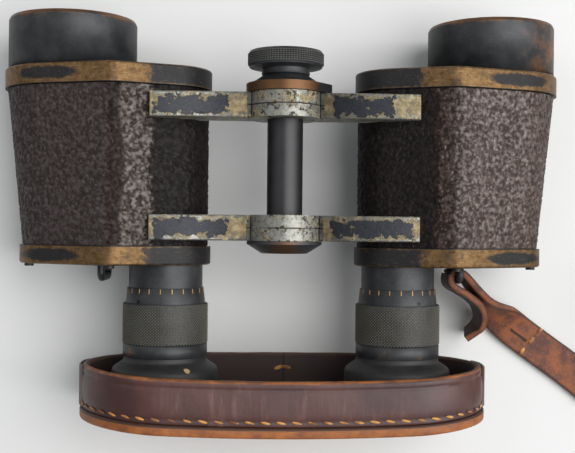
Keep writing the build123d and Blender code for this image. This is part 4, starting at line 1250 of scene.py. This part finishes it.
bridle = bridle_leather.mix(bridle_folds.rise(0.54, 0.76) * bridle_cloud.rise(0.4, 0.6) * 0.45, bridle, shade(128, 92, 84))
bridle = bridle_leather.mix(bridle_pores.rise(0.5, 0.8) * 0.45, bridle, shade(48, 25, 22))
# The stitch gutter is darkened as painted shade.
bridle = bridle_leather.mix(gutter * 0.4, bridle, shade(44, 23, 19))
bridle = bridle_leather.mix(on_rim * 0.75, bridle, shade(80, 57, 41))
bridle = bridle_leather.mix(rim_rub, bridle, shade(160, 96, 50))
# The inside face of the trough is darkened as painted shade.
bridle = bridle_leather.mix(inside_face * (1 - on_rim) * 0.85, bridle, shade(34, 20, 14))
bridle = bridle_leather.mix(butt_joint * 0.8, bridle, shade(14, 9, 8))
bridle_leather.surface(
    Base_Color=bridle,
    Roughness=0.38 + bridle_pores * 0.14 + inside_face * 0.25,
    Normal=bridle_leather.bump(bridle_folds * 0.5 + bridle_pores * 0.25 - butt_joint, 0.22 * MM, 0.6),
)
sole_leather = Finish("sole_leather")
sole_cloud = sole_leather.noise(4 * MM, 5.0, 0.6)
sole_layers = sole_leather.noise(0.7 * MM, 3.0, 0.6, sole_leather.stretched(0.3, 2.4, 0.3))
sole_tan = sole_leather.mix(sole_cloud.rise(0.3, 0.7), shade(118, 64, 28), shade(160, 94, 40))
sole_tan = sole_leather.mix(sole_layers.rise(0.55, 0.75) * 0.6, sole_tan, shade(90, 50, 26))
sole_lift = (sole_leather.axis("Z") - guard_low.z) / (guard_high.z - guard_low.z)
sole_bow = (1 - (sole_leather.axis("X") / guard_high.x) ** 2.0).highest(0.0) * sole_lift * guard_bow
sole_seam = sole_leather.axis("Y") + sole_bow + (sole_cloud - 0.5) * 0.7 * MM
sole_seam = sole_seam.rise(sole_high.y - 0.9 * MM, sole_high.y - 0.55 * MM)
sole_tan = sole_leather.mix(sole_seam * 0.9, sole_tan, shade(36, 21, 16))
sole_leather.surface(
    Base_Color=sole_tan,
    Roughness=0.45 + sole_cloud * 0.2,
    Normal=sole_leather.bump(sole_layers + sole_cloud * 0.5, 0.12 * MM),
)
wall = piece("guard_wall", guard_wall_mesh(), bridle_leather.material, "rain_guard", 60.0)
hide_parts("rain_guard_wall")
sole = piece("guard_sole", sole_mesh(), sole_leather.material, "rain_guard", 60.0)
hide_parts("rain_guard_sole")
keepers = piece("guard_keepers", keepers_mesh(), bridle_leather.material, "rain_guard")
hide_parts("rain_guard_loops")
piece("guard_stitches", stitches_mesh(), waxed_thread.material, "rain_guard")

# Strap lugs. A bent wire staple on each rear plate, brazed on and blackened.

lug_black = blackened_brass("lug_black")
for side in ("left", "right"):
    smooth_copy(f"{side}_strap_lug", f"{side}_lug", lug_black.material)
